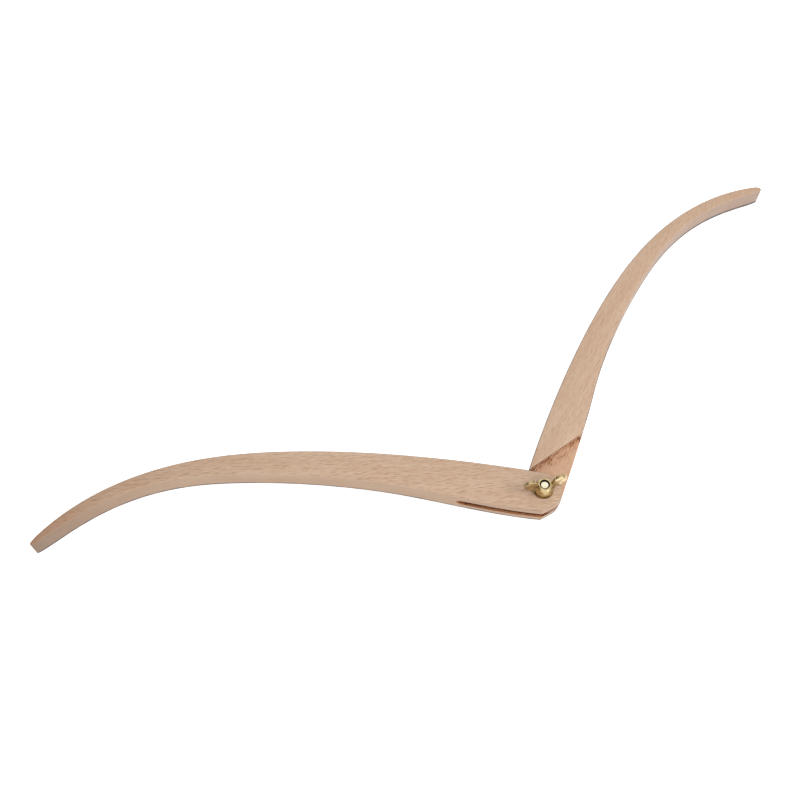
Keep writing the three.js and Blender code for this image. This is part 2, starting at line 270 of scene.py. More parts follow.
def slab(
    name: str,
    knots: list[Knot],
    bottom: float,
    top: float,
    arris: float = 0.0,
    grow: float = 0.0,
    resolution: int = 48,
) -> bpy.types.Object:
    """Cut a flat piece of one thickness to an outline, with its long edges rounded.

    Args:
        name: The object's name.
        knots: The outline. A missing handle makes that side of the knot straight.
        bottom: The height of its underside.
        top: The height of its upper side.
        arris: The radius on its long edges.
        grow: How far the outline is moved outwards.
        resolution: How many steps each stretch between two knots takes.

    Returns:
        The closed mesh.
    """
    deselect()
    bpy.ops.curve.primitive_bezier_curve_add(location=(0, 0, (top + bottom) / 2))
    piece = bpy.context.object
    piece.name = name
    curve = piece.data
    curve.dimensions = "2D"
    curve.fill_mode = "BOTH"
    curve.resolution_u = resolution
    curve.extrude = (top - bottom) / 2 - arris
    curve.bevel_depth = arris
    curve.bevel_resolution = 4
    curve.offset = grow - arris
    spline = curve.splines[0]
    spline.bezier_points.add(len(knots) - len(spline.bezier_points))
    spline.use_cyclic_u = True
    for index, (knot, point) in enumerate(zip(knots, spline.bezier_points)):
        here = Vector(knot.at)
        before = Vector(knots[index - 1].at)
        after = Vector(knots[(index + 1) % len(knots)].at)
        left = Vector(knot.before) if knot.before else here.lerp(before, 1 / 3)
        right = Vector(knot.after) if knot.after else here.lerp(after, 1 / 3)
        point.handle_left_type = point.handle_right_type = "FREE"
        point.co = (*here, 0)
        point.handle_left = (*left, 0)
        point.handle_right = (*right, 0)
    bpy.ops.object.convert(target="MESH")
    piece = bpy.context.object
    settle(piece)
    clean(piece)
    return piece


def block(
    centre: tuple[float, float, float], size: tuple[float, float, float], turn: float = 0.0
) -> bpy.types.Object:
    """Add a plain block to cut with.

    Args:
        centre: Its centre.
        size: Its full size along its own axes.
        turn: How far it is turned about Z, in radians.

    Returns:
        The block.
    """
    deselect()
    bpy.ops.mesh.primitive_cube_add(size=1, location=centre, rotation=(0, 0, turn), scale=size)
    piece = bpy.context.object
    settle(piece)
    return piece


# Sizes that the pieces share


@dataclass(frozen=True)
class Joint:
    """Where the layers of the joint lie, and how its parts keep clear of each other."""

    head_height: float = 3.0
    seat_gap: float = 0.05
    leg_thickness: float = 13.0
    slot_width: float = 4.6
    slot_clearance: float = 0.2
    shoulder_reach: float = 15.45
    slot_extra_depth: float = 1.6
    shoulder_slope: float = math.radians(17.71)
    stop_gap: float = 0.3
    open_angle: float = math.radians(132.92)
    hole_radius: float = 2.7
    square_hole: float = 5.5

    @property
    def leg_bottom(self) -> float:
        """Height of the legs' underside."""
        return self.head_height + self.seat_gap

    @property
    def leg_top(self) -> float:
        """Height of the legs' upper side."""
        return self.leg_bottom + self.leg_thickness

    @property
    def middle(self) -> float:
        """Height of the middle of the legs."""
        return self.leg_bottom + self.leg_thickness / 2

    @property
    def washer_seat(self) -> float:
        """Height of the washer's underside."""
        return self.leg_top + self.seat_gap


def reached(start: Point, slope: float, distance: float) -> Point:
    """Give the point at a distance from another, in the direction of a slope."""
    return start[0] + distance * math.cos(slope), start[1] + distance * math.sin(slope)


@dataclass(frozen=True)
class LegShape:
    """What hand shaping made different from leg to leg, in millimetres on the template."""

    bow: float
    heel: Point
    heel_swell: float
    tip: Point
    cut: Point
    tip_radius: float


@dataclass(frozen=True)
class Template:
    """The bowed outline that both legs are drawn from, along and out from the pivot."""

    nose_radius: float = 11.5
    back_crown: float = 182.5
    back_start_slope: float = math.radians(22)
    back_end_slope: float = math.radians(45.5)
    back_pulls: tuple[float, float, float, float] = (8.6, 79.5, 65, 24)
    crown_width: float = 12.5
    belly_start: Point = (77, 10)
    belly_lead: float = 22
    belly_start_slope: float = math.radians(18.5)
    belly_end_slope: float = math.radians(22.5)
    belly_pulls: tuple[float, float, float, float] = (56, 21, 57, 14)

    def outline(self, leg: LegShape) -> list[Knot]:
        """Draw one leg, counterclockwise from its heel.

        Args:
            leg: The leg's own sizes.

        Returns:
            The outline's knots.
        """
        start = self.belly_start
        chord = math.atan2(start[1] - leg.heel[1], start[0] - leg.heel[0])
        heel_pull = math.dist(leg.heel, start) / 3
        leave, into_crown, past_crown, _ = self.belly_pulls
        belly_crown = (self.back_crown + self.belly_lead, leg.bow - self.crown_width)
        crown = (self.back_crown, leg.bow)
        tip_back = (leg.tip[0] + leg.cut[0], leg.tip[1] + leg.cut[1])
        rise = reached(tip_back, math.pi - self.back_end_slope, self.back_pulls[3])
        return [
            Knot(leg.heel, None, reached(leg.heel, chord - leg.heel_swell, heel_pull)),
            Knot(
                start,
                reached(start, self.belly_start_slope, -heel_pull),
                reached(start, self.belly_start_slope, leave),
            ),
            Knot(
                belly_crown,
                reached(belly_crown, 0, -into_crown),
                reached(belly_crown, 0, past_crown),
            ),
            *self.tip(leg),
            Knot(tip_back, None, rise),
            Knot(
                crown,
                reached(crown, 0, self.back_pulls[2]),
                reached(crown, 0, -self.back_pulls[1]),
            ),
            *self.nose(leg),
        ]

    def tip(self, leg: LegShape) -> list[Knot]:
        """Round off the corner at a leg's tip.

        Args:
            leg: The leg's own sizes.

        Returns:
            The knots from the belly to the cut beside the tip.
        """
        cut_angle = math.atan2(leg.cut[1], leg.cut[0])
        half = (math.pi - self.belly_end_slope - cut_angle) / 2
        centre = reached(leg.tip, cut_angle + half, leg.tip_radius / math.sin(half))
        quarter = math.pi / 2
        knots = arc(
            centre, leg.tip_radius, -self.belly_end_slope - quarter, cut_angle - quarter, 2
        )
        arrive = reached(knots[0].at, math.pi - self.belly_end_slope, self.belly_pulls[3])
        return [replace(knots[0], before=arrive), *knots[1:]]

    def nose(self, leg: LegShape) -> list[Knot]:
        """Round the end beyond the pivot, up to the straight cut beside the heel.

        Args:
            leg: The leg's own sizes.

        Returns:
            The knots from the back to that cut.
        """
        start = math.pi / 2 + self.back_start_slope
        heel_x, heel_y = leg.heel
        end = math.atan2(heel_y, heel_x) - math.acos(self.nose_radius / math.hypot(heel_x, heel_y))
        knots = arc((0, 0), self.nose_radius, start, end + 2 * math.pi, 3)
        arrive = reached(knots[0].at, self.back_start_slope, self.back_pulls[0])
        return [replace(knots[0], before=arrive), *knots[1:]]


JOINT = Joint()
TEMPLATE = Template()
TONGUE_TURN = math.pi - JOINT.open_angle
FORK_SHAPE = LegShape(
    bow=45.3,
    heel=(2.8, -13.7),
    heel_swell=math.radians(5),
    tip=(303.7, -2.1),
    cut=(-4.8, 6.3),
    tip_radius=1.05,
)
TONGUE_SHAPE = LegShape(
    bow=44.0,
    heel=(3.0, -11.4),
    heel_swell=math.radians(1),
    tip=(302.0, -1.0),
    cut=(-1.8, 5.5),
    tip_radius=1.65,
)


def placed(knots: list[Knot], place: Callable[[Point], Point]) -> list[Knot]:
    """Move an outline from the template to its place on the caliper.

    Args:
        knots: The outline on the template.
        place: Gives a template point's place.

    Returns:
        The outline in its place.
    """
    return [
        Knot(
            place(knot.at),
            place(knot.before) if knot.before else None,
            place(knot.after) if knot.after else None,
        )
        for knot in knots
    ]


def to_fork(point: Point) -> Point:
    """Place a template point on the forked leg, which is the template mirrored."""
    return -point[0], point[1]


def to_tongue(point: Point) -> Point:
    """Place a template point on the tongued leg, which is the template turned."""
    cos, sin = math.cos(TONGUE_TURN), math.sin(TONGUE_TURN)
    return point[0] * cos - point[1] * sin, point[0] * sin + point[1] * cos


def off_shoulder(distance: float) -> Point:
    """Give the template point at a distance from the pivot, square to the shoulder line."""
    slope = JOINT.shoulder_slope
    return distance * math.sin(slope), distance * math.cos(slope)


def joint_side(
    reach: float, bottom: float, top: float, place: Callable[[Point], Point], turn: float
) -> bpy.types.Object:
    """Make a block that takes in all of a leg on the pivot's side of its shoulder line.

    Args:
        reach: How far the line lies from the pivot axis.
        bottom: The block's lowest height.
        top: Its highest height.
        place: Gives a template point's place on the leg.
        turn: The line's turn about Z, in radians.

    Returns:
        The block.
    """
    x, y = place(off_shoulder(reach - CUTTER_SPAN / 2))
    size = (2 * CUTTER_SPAN, CUTTER_SPAN, top - bottom)
    return block((x, y, (bottom + top) / 2), size, turn)


# Shaders


class Sketch:
    """Adds nodes to one node tree and joins them, working out the value of each socket."""

    def __init__(self, tree: bpy.types.NodeTree) -> None:
        """Start on a tree.

        Args:
            tree: A material's, a world's or a group's tree.
        """
        self.tree = tree

    def add(
        self, kind: str, inputs: dict[str | int, object] | None = None, **settings: object
    ) -> bpy.types.Node:
        """Add a node.

        Args:
            kind: The node's type.
            inputs: A value or an output socket for each input, by name or number.
            settings: The node's own settings.

        Returns:
            The node.
        """
        node = self.tree.nodes.new(kind)
        for key, value in settings.items():
            setattr(node, key, value)
        for key, value in (inputs or {}).items():
            if isinstance(value, bpy.types.NodeSocket):
                self.tree.links.new(value, node.inputs[key])
            else:
                node.inputs[key].default_value = value
        return node

    def math(
        self, operation: str, *values: object, clamp: bool = False
    ) -> bpy.types.NodeSocket:
        """Work out a number.

        Args:
            operation: The Math node's operation.
            values: Its inputs, numbers or sockets.
            clamp: Whether the result is kept between 0 and 1.

        Returns:
            The result's socket.
        """
        inputs = dict(enumerate(values))
        return self.add("ShaderNodeMath", inputs, operation=operation, use_clamp=clamp).outputs[0]

    def fade(
        self, value: object, start: float, end: float, low: float = 0, high: float = 1
    ) -> bpy.types.NodeSocket:
        """Go smoothly from one number to another as a value goes from start to end.

        Args:
            value: The socket that drives it.
            start: Where it starts.
            end: Where it ends, which may lie below the start.
            low: The result at the start.
            high: The result at the end.

        Returns:
            The result's socket.
        """
        if start > end:
            start, end, low, high = end, start, high, low
        inputs = {0: value, 1: start, 2: end, 3: low, 4: high}
        node = self.add("ShaderNodeMapRange", inputs, interpolation_type="SMOOTHSTEP")
        return node.outputs[0]

    def mix(self, factor: object, first: object, second: object) -> bpy.types.NodeSocket:
        """Mix two colours.

        Args:
            factor: How much of the second, from 0 to 1.
            first: A colour or its socket.
            second: A colour or its socket.

        Returns:
            The colour's socket.
        """
        values = [(*c, 1) if isinstance(c, tuple) and len(c) == 3 else c for c in (first, second)]
        inputs = {0: factor, 6: values[0], 7: values[1]}
        return self.add("ShaderNodeMix", inputs, data_type="RGBA").outputs[2]

    def stretched(
        self, vector: object, scale: tuple[float, float, float], turn: float = 0.0
    ) -> bpy.types.NodeSocket:
        """Stretch and turn coordinates.

        Args:
            vector: The coordinates' socket.
            scale: The scale along each axis, after the turn.
            turn: The turn about Z, in radians.

        Returns:
            The new coordinates' socket.
        """
        inputs = {"Vector": vector, "Rotation": (0, 0, turn), "Scale": scale}
        return self.add("ShaderNodeMapping", inputs).outputs[0]

    def link(self, output: bpy.types.NodeSocket, target: bpy.types.NodeSocket) -> None:
        """Join an output socket to an input socket."""
        self.tree.links.new(output, target)

    def axis(self, vector: object, name: str) -> bpy.types.NodeSocket:
        """Give one axis, X, Y or Z, of a vector."""
        return self.add("ShaderNodeSeparateXYZ", {0: vector}).outputs[name]

    def dot(self, vector: object, other: object) -> bpy.types.NodeSocket:
        """Give the dot product of two vectors."""
        node = self.add("ShaderNodeVectorMath", {0: vector, 1: other}, operation="DOT_PRODUCT")
        return node.outputs["Value"]

    def bump(self, strength: float, distance: float, height: object) -> bpy.types.NodeSocket:
        """Tilt the normal by a pattern of heights.

        Args:
            strength: How strong that is, from 0 to 1.
            distance: How high the pattern is, in metres.
            height: The pattern's socket.

        Returns:
            The new normal's socket.
        """
        inputs = {"Strength": strength, "Distance": distance, "Height": height}
        return self.add("ShaderNodeBump", inputs).outputs[0]

    def length(self, vector: object) -> bpy.types.NodeSocket:
        """Give the length of a vector."""
        return self.add("ShaderNodeVectorMath", {0: vector}, operation="LENGTH").outputs["Value"]

    def noise(
        self, vector: object, detail: float = 2.0, roughness: float = 0.5
    ) -> bpy.types.NodeSocket:
        """Give smooth noise around 0.5 at one cycle per unit of the coordinates.

        Args:
            vector: The coordinates' socket.
            detail: How many finer layers it has.
            roughness: How strong those are.

        Returns:
            The noise's socket.
        """
        inputs = {"Vector": vector, "Scale": 1.0, "Detail": detail, "Roughness": roughness}
        return self.add("ShaderNodeTexNoise", inputs).outputs[0]


def new_material(name: str) -> tuple[bpy.types.Material, Sketch, bpy.types.Node]:
    """Start a material.

    Args:
        name: The material's name.

    Returns:
        The material, a sketch on its tree and its surface shader.
    """
    material = bpy.data.materials.new(name)
    material.use_nodes = True
    tree = material.node_tree
    return material, Sketch(tree), tree.nodes["Principled BSDF"]


def new_group(
    name: str, inputs: dict[str, tuple[str, object]], outputs: dict[str, str]
) -> tuple[bpy.types.NodeTree, bpy.types.Node, bpy.types.Node]:
    """Start a shader group with named sockets.

    Args:
        name: The group's name.
        inputs: The type and default of each input, by name.
        outputs: The type of each output, by name.

    Returns:
        The group's tree, its input node and its output node.
    """
    tree = bpy.data.node_groups.new(name, "ShaderNodeTree")
    for key, (kind, default) in inputs.items():
        socket = tree.interface.new_socket(key, in_out="INPUT", socket_type=kind)
        if default is not None:
            socket.default_value = default
    for key, kind in outputs.items():
        tree.interface.new_socket(key, in_out="OUTPUT", socket_type=kind)
    return tree, tree.nodes.new("NodeGroupInput"), tree.nodes.new("NodeGroupOutput")


@dataclass(frozen=True)
class Dashes:
    """A layer of short strokes along the grain, in millimetres."""

    cell: Point
    half: Point
    lean: float
    place: float

    def mask(self, sketch: Sketch, grain: object) -> bpy.types.NodeSocket:
        """Scatter the strokes, one to a cell and no two alike.

        Args:
            sketch: The tree that they are added to.
            grain: The coordinates, with the grain along X.

        Returns:
            How much of a stroke there is, from 0 to 1.
        """
        inputs = {
            "Vector": grain,
            "Location": (self.place, self.place, 0),
            "Rotation": (0, 0, self.lean),
            "Scale": (*self.cell, 1),
        }
        cells = sketch.add("ShaderNodeMapping", inputs, vector_type="TEXTURE").outputs[0]
        middles = sketch.add(
            "ShaderNodeTexVoronoi", {"Vector": cells, "Scale": 1.0}, voronoi_dimensions="2D"
        )
        inputs = {0: cells, 1: middles.outputs["Position"]}
        away = sketch.add("ShaderNodeVectorMath", inputs, operation="SUBTRACT").outputs[0]
        shape = (self.cell[0] / self.half[0], self.cell[1] / self.half[1], 0)
        reach = sketch.length(sketch.stretched(away, shape))
        chance = sketch.axis(middles.outputs["Color"], "X")
        size = sketch.math("MULTIPLY_ADD", chance, 0.75, 0.4)
        return sketch.fade(sketch.math("DIVIDE", reach, size), 1.1, 0.35)


class BeechGrain:
    """The pattern of planed beech, shared by every wooden surface."""

    NAME = "beech_grain"
    DARK = (
        Dashes((6.0, 1.9), (3.2, 0.25), math.radians(7), 0.0),
        Dashes((8.3, 2.5), (2.4, 0.22), math.radians(9), 31.7),
    )
    PALE = Dashes((6.6, 2.1), (3.2, 0.3), math.radians(7), 12.3)

    def tree(self) -> bpy.types.NodeTree:
        """Give the group, built the first time that it is asked for.

        Returns:
            The group, whose Grain input is in millimetres with the grain along X.
        """
        known = bpy.data.node_groups.get(self.NAME)
        if known:
            return known
        inputs = {
            "Grain": ("NodeSocketVector", None),
            "Facing": ("NodeSocketVector", None),
            "Light": ("NodeSocketColor", (1, 1, 1, 1)),
            "Dark": ("NodeSocketColor", (0, 0, 0, 1)),
            "Fleck": ("NodeSocketColor", (0, 0, 0, 1)),
            "Pale": ("NodeSocketColor", (1, 1, 1, 1)),
            "Fleck strength": ("NodeSocketFloat", 0.5),
        }
        outputs = {
            "Color": "NodeSocketColor",
            "Roughness": "NodeSocketFloat",
            "Height": "NodeSocketFloat",
        }
        tree, source, result = new_group(self.NAME, inputs, outputs)
        sketch = Sketch(tree)
        grain = self.wander(sketch, source.outputs["Grain"])
        facing = sketch.axis(source.outputs["Facing"], "Z")
        flat = sketch.fade(sketch.math("ABSOLUTE", facing), 0.4, 0.9)

        bands = sketch.noise(sketch.stretched(grain, (0.004, 0.16, 0.12)), 2.0)
        fibres = sketch.noise(sketch.stretched(grain, (0.035, 1.7, 1.7)), 3.0, 0.65)
        blotches = sketch.noise(sketch.stretched(grain, (0.03, 0.09, 0.09)), 2.0)
        tone = sketch.math("MULTIPLY", sketch.fade(bands, 0.25, 0.75), 0.35)
        tone = sketch.math("MULTIPLY_ADD", sketch.fade(blotches, 0.25, 0.75), 0.25, tone)
        tone = sketch.math("MULTIPLY_ADD", sketch.fade(fibres, 0.3, 0.72), 0.4, tone)
        colour = sketch.mix(tone, source.outputs["Light"], source.outputs["Dark"])

        strength = sketch.math("MULTIPLY", flat, source.outputs["Fleck strength"])
        pale = sketch.math("MULTIPLY", self.PALE.mask(sketch, grain), strength)
        colour = sketch.mix(pale, colour, source.outputs["Pale"])
        flecks = [layer.mask(sketch, grain) for layer in self.DARK]
        dark = sketch.math("MULTIPLY", sketch.math("MAXIMUM", *flecks), strength)
        colour = sketch.mix(dark, colour, source.outputs["Fleck"])
        sketch.link(colour, result.inputs["Color"])

        rough = sketch.math("MULTIPLY_ADD", fibres, 0.16, 0.48)
        sketch.link(sketch.math("MULTIPLY_ADD", dark, -0.08, rough), result.inputs["Roughness"])
        sketch.link(sketch.math("MULTIPLY_ADD", dark, -0.6, fibres), result.inputs["Height"])
        return tree

    @staticmethod
    def wander(sketch: Sketch, grain: object) -> bpy.types.NodeSocket:
        """Let straight grain wander a little from side to side.

        Args:
            sketch: The tree that it is added to.
            grain: The straight coordinates.

        Returns:
            The wandering coordinates.
        """
        drift = sketch.noise(sketch.stretched(grain, (0.012, 0.02, 0.02)), 1.0)
        ripple = sketch.noise(sketch.stretched(grain, (0.16, 0.3, 0.3)), 1.0)
        shift = sketch.math("MULTIPLY_ADD", drift, 5.0, -2.5)
        shift = sketch.math("MULTIPLY_ADD", ripple, 0.8, shift)
        inputs = {0: grain, 1: sketch.add("ShaderNodeCombineXYZ", {1: shift}).outputs[0]}
        return sketch.add("ShaderNodeVectorMath", inputs, operation="ADD").outputs[0]


@dataclass(frozen=True)
class Beech:
    """Planed and oiled beech, with its grain laid along one leg, and painted shade and highlights
    on its sides, arrises and tip.
    """

    name: str
    turn: float
    grain_lean: float
    seed: float
    light: Colour = linear(214, 185, 160)
    dark: Colour = linear(200, 165, 136)
    fleck: Colour = linear(154, 114, 86)
    pale: Colour = linear(226, 200, 178)
    fleck_strength: float = 0.62
    # Painted shade towards the tip, where the light falls off: where it starts and ends, in metres
    # from the pivot, and how strong it is; then its colour on the top and on the sides
    tip_shade: tuple[float, float, float] | None = None
    tip_shade_on_top: Colour = linear(138, 92, 60)
    tip_shade_on_sides: Colour = linear(96, 80, 72)
    # The belly's upper arris: a painted highlight with some wear
    wear_and_highlight: Colour = linear(224, 199, 178)
    # Painted shade on the back arrises, on the arrises near the pivot and along the bottom of the
    # sides: its grey
    edge_shade: Colour = linear(84, 84, 90)
    # Painted shade on the sides: its bluish grey and how much of it is mixed in
    side_shade_tone: Colour = linear(124, 127, 149)
    side_shade: float = 0.0
    # The dark of a broken line on the back arris near the joint
    back_line_tone: Colour = linear(44, 32, 28)
    # How far from the pivot the arrises keep that painted shade, in millimetres, before it fades
    # out over 40 more
    shaded_belly_reach: float = 0.0
    dark_back: tuple[float, float] | None = None
    # Painted shade on the tongue's edge round the pivot, where the slot shades it
    heel_shade: Colour | None = None
    # How high above the underside the painted shade along the bottom of the sides reaches, in
    # millimetres
    foot: float = 1.75
    bump: float = 0.05

    def build(self) -> bpy.types.Material:
        """Make the material.

        Returns:
            The finished material.
        """
        material, sketch, shader = new_material(self.name)
        coordinates = sketch.add("ShaderNodeTexCoord")
        place, normal = coordinates.outputs["Object"], coordinates.outputs["Normal"]
        inputs = {
            "Vector": place,
            "Location": (self.seed, self.seed * 0.37, self.seed * 0.11),
            "Rotation": (0, 0, -self.turn - self.grain_lean),
            "Scale": (MILLIMETRES_PER_METRE,) * 3,
        }
        grain = sketch.add("ShaderNodeMapping", inputs).outputs[0]
        colour, roughness, height = self.pattern(sketch, grain, normal)
        if self.heel_shade:
            colour = self.shade_heel(sketch, colour, place)
        colour = self.edges(sketch, colour, grain, place, normal)
        if self.tip_shade:
            colour = self.shaded_tip(sketch, colour, place, normal)
        sketch.link(colour, shader.inputs["Base Color"])
        sketch.link(roughness, shader.inputs["Roughness"])
        bump = sketch.bump(0.35, self.bump * METRES_PER_MILLIMETRE, height)
        sketch.link(bump, shader.inputs["Normal"])
        shader.inputs["IOR"].default_value = 1.45
        shader.inputs["Specular IOR Level"].default_value = 0.35
        return material

    def pattern(
        self, sketch: Sketch, grain: object, normal: object
    ) -> list[bpy.types.NodeSocket]:
        """Lay the grain.

        Args:
            sketch: The material's tree.
            grain: The coordinates in millimetres, with the grain along X.
            normal: The surface's normal.

        Returns:
            The sockets of its colour, roughness and height.
        """
        group = sketch.add("ShaderNodeGroup", node_tree=BeechGrain().tree())
        sketch.link(grain, group.inputs["Grain"])
        sketch.link(normal, group.inputs["Facing"])
        for key, colour in (
            ("Light", self.light), ("Dark", self.dark), ("Fleck", self.fleck), ("Pale", self.pale)
        ):
            group.inputs[key].default_value = (*colour, 1)
        group.inputs["Fleck strength"].default_value = self.fleck_strength
        return [group.outputs[key] for key in ("Color", "Roughness", "Height")]

    def shade_heel(
        self, sketch: Sketch, colour: object, place: object
    ) -> bpy.types.NodeSocket:
        """Paint shade on the tongue's edge round the pivot, towards the front, where the slot
        shades it.

        Args:
            sketch: The material's tree.
            colour: The colour's socket so far.
            place: The place on the leg, in metres.

        Returns:
            The new colour's socket.
        """
        across = sketch.axis(place, "Y")
        return sketch.mix(sketch.fade(across, 0.002, -0.006, 0.0, 0.9), colour, self.heel_shade)

    def edges(
        self, sketch: Sketch, colour: object, grain: object, place: object, normal: object
    ) -> bpy.types.NodeSocket:
        """Paint shade on the sides, paint the belly's upper arris pale as a highlight with some
        wear, paint shade on the other arrises and along the bottom of the sides, and draw a dark
        broken line on the back arris near the joint when asked.

        Args:
            sketch: The material's tree.
            colour: The colour's socket so far.
            grain: The coordinates in millimetres, with the grain along X.
            place: The place on the leg, in metres.
            normal: The surface's normal.

        Returns:
            The new colour's socket.
        """
        height = sketch.axis(place, "Z")
        inputs = {"Vector": normal, "Rotation": (0, 0, -self.turn)}
        facing = sketch.add("ShaderNodeMapping", inputs, vector_type="VECTOR").outputs[0]
        facing = sketch.add("ShaderNodeSeparateXYZ", {0: facing})
        steep = sketch.math("ABSOLUTE", facing.outputs["Z"])
        upright = sketch.fade(steep, 0.98, 0.85)
        # Painted shade on the sides
        sides = sketch.math("MULTIPLY", sketch.fade(steep, 0.9, 0.5), self.side_shade)
        colour = sketch.mix(sides, colour, self.side_shade_tone)
        arris = sketch.math("MULTIPLY", sketch.fade(steep, 0.08, 0.3), upright)
        reach = sketch.math("MULTIPLY", sketch.length(place), MILLIMETRES_PER_METRE)
        back = sketch.fade(facing.outputs["Y"], -0.1, 0.1)
        # Painted shade along the bottom of the sides, on the back arrises and on the arrises near
        # the pivot
        low = (JOINT.leg_bottom + self.foot) * METRES_PER_MILLIMETRE
        lower = sketch.fade(height, low + 0.0002, low - 0.0002)
        near_pivot = sketch.fade(reach, self.shaded_belly_reach + 40, self.shaded_belly_reach)
        grey = sketch.math("MULTIPLY", arris, sketch.math("MAXIMUM", back, near_pivot))
        grey = sketch.math("MAXIMUM", grey, sketch.math("MULTIPLY", upright, lower))
        pale = sketch.math("SUBTRACT", arris, grey, clamp=True)
        patches = sketch.noise(sketch.stretched(grain, (0.07, 0.3, 0.3)), 2.0)
        patches = sketch.fade(patches, 0.3, 0.6, 0.5, 1.0)
        # Painted highlight with some wear on the belly's upper arris
        colour = sketch.mix(sketch.math("MULTIPLY", pale, 0.15), colour, self.wear_and_highlight)
        grey = sketch.math("MULTIPLY", grey, sketch.math("MULTIPLY", patches, 0.92))
        colour = sketch.mix(grey, colour, self.edge_shade)
        if not self.dark_back:
            return colour
        start, end = self.dark_back
        line = sketch.math("MULTIPLY", arris, back)
        line = sketch.math("MULTIPLY", line, sketch.fade(reach, start - 1, start))
        line = sketch.math("MULTIPLY", line, sketch.fade(reach, end, end - 12))
        breaks = sketch.noise(sketch.stretched(grain, (0.35, 0.3, 0.3)), 2.0)
        line = sketch.math("MULTIPLY", line, sketch.fade(breaks, 0.3, 0.5, 0.4, 1.0))
        return sketch.mix(line, colour, self.back_line_tone)

    def shaded_tip(
        self, sketch: Sketch, colour: object, place: object, normal: object
    ) -> bpy.types.NodeSocket:
        """Paint shade on the leg towards its tip, where the light falls off, darker and greyer on
        the sides.

        Args:
            sketch: The material's tree.
            colour: The colour's socket so far.
            place: The place on the leg, in metres.
            normal: The surface's normal.

        Returns:
            The new colour's socket.
        """
        start, end, amount = self.tip_shade
        inputs = {0: sketch.length(place), 1: start, 2: end, 3: 0.0, 4: 1.0}
        share = sketch.add("ShaderNodeMapRange", inputs).outputs[0]
        share = sketch.math("MULTIPLY", sketch.math("POWER", share, 3.0), amount)
        # Painted shade, greyer on the sides than on the top
        level = sketch.fade(sketch.math("ABSOLUTE", sketch.axis(normal, "Z")), 0.5, 0.9)
        tone = sketch.mix(level, self.tip_shade_on_sides, self.tip_shade_on_top)
        return sketch.mix(share, colour, tone)


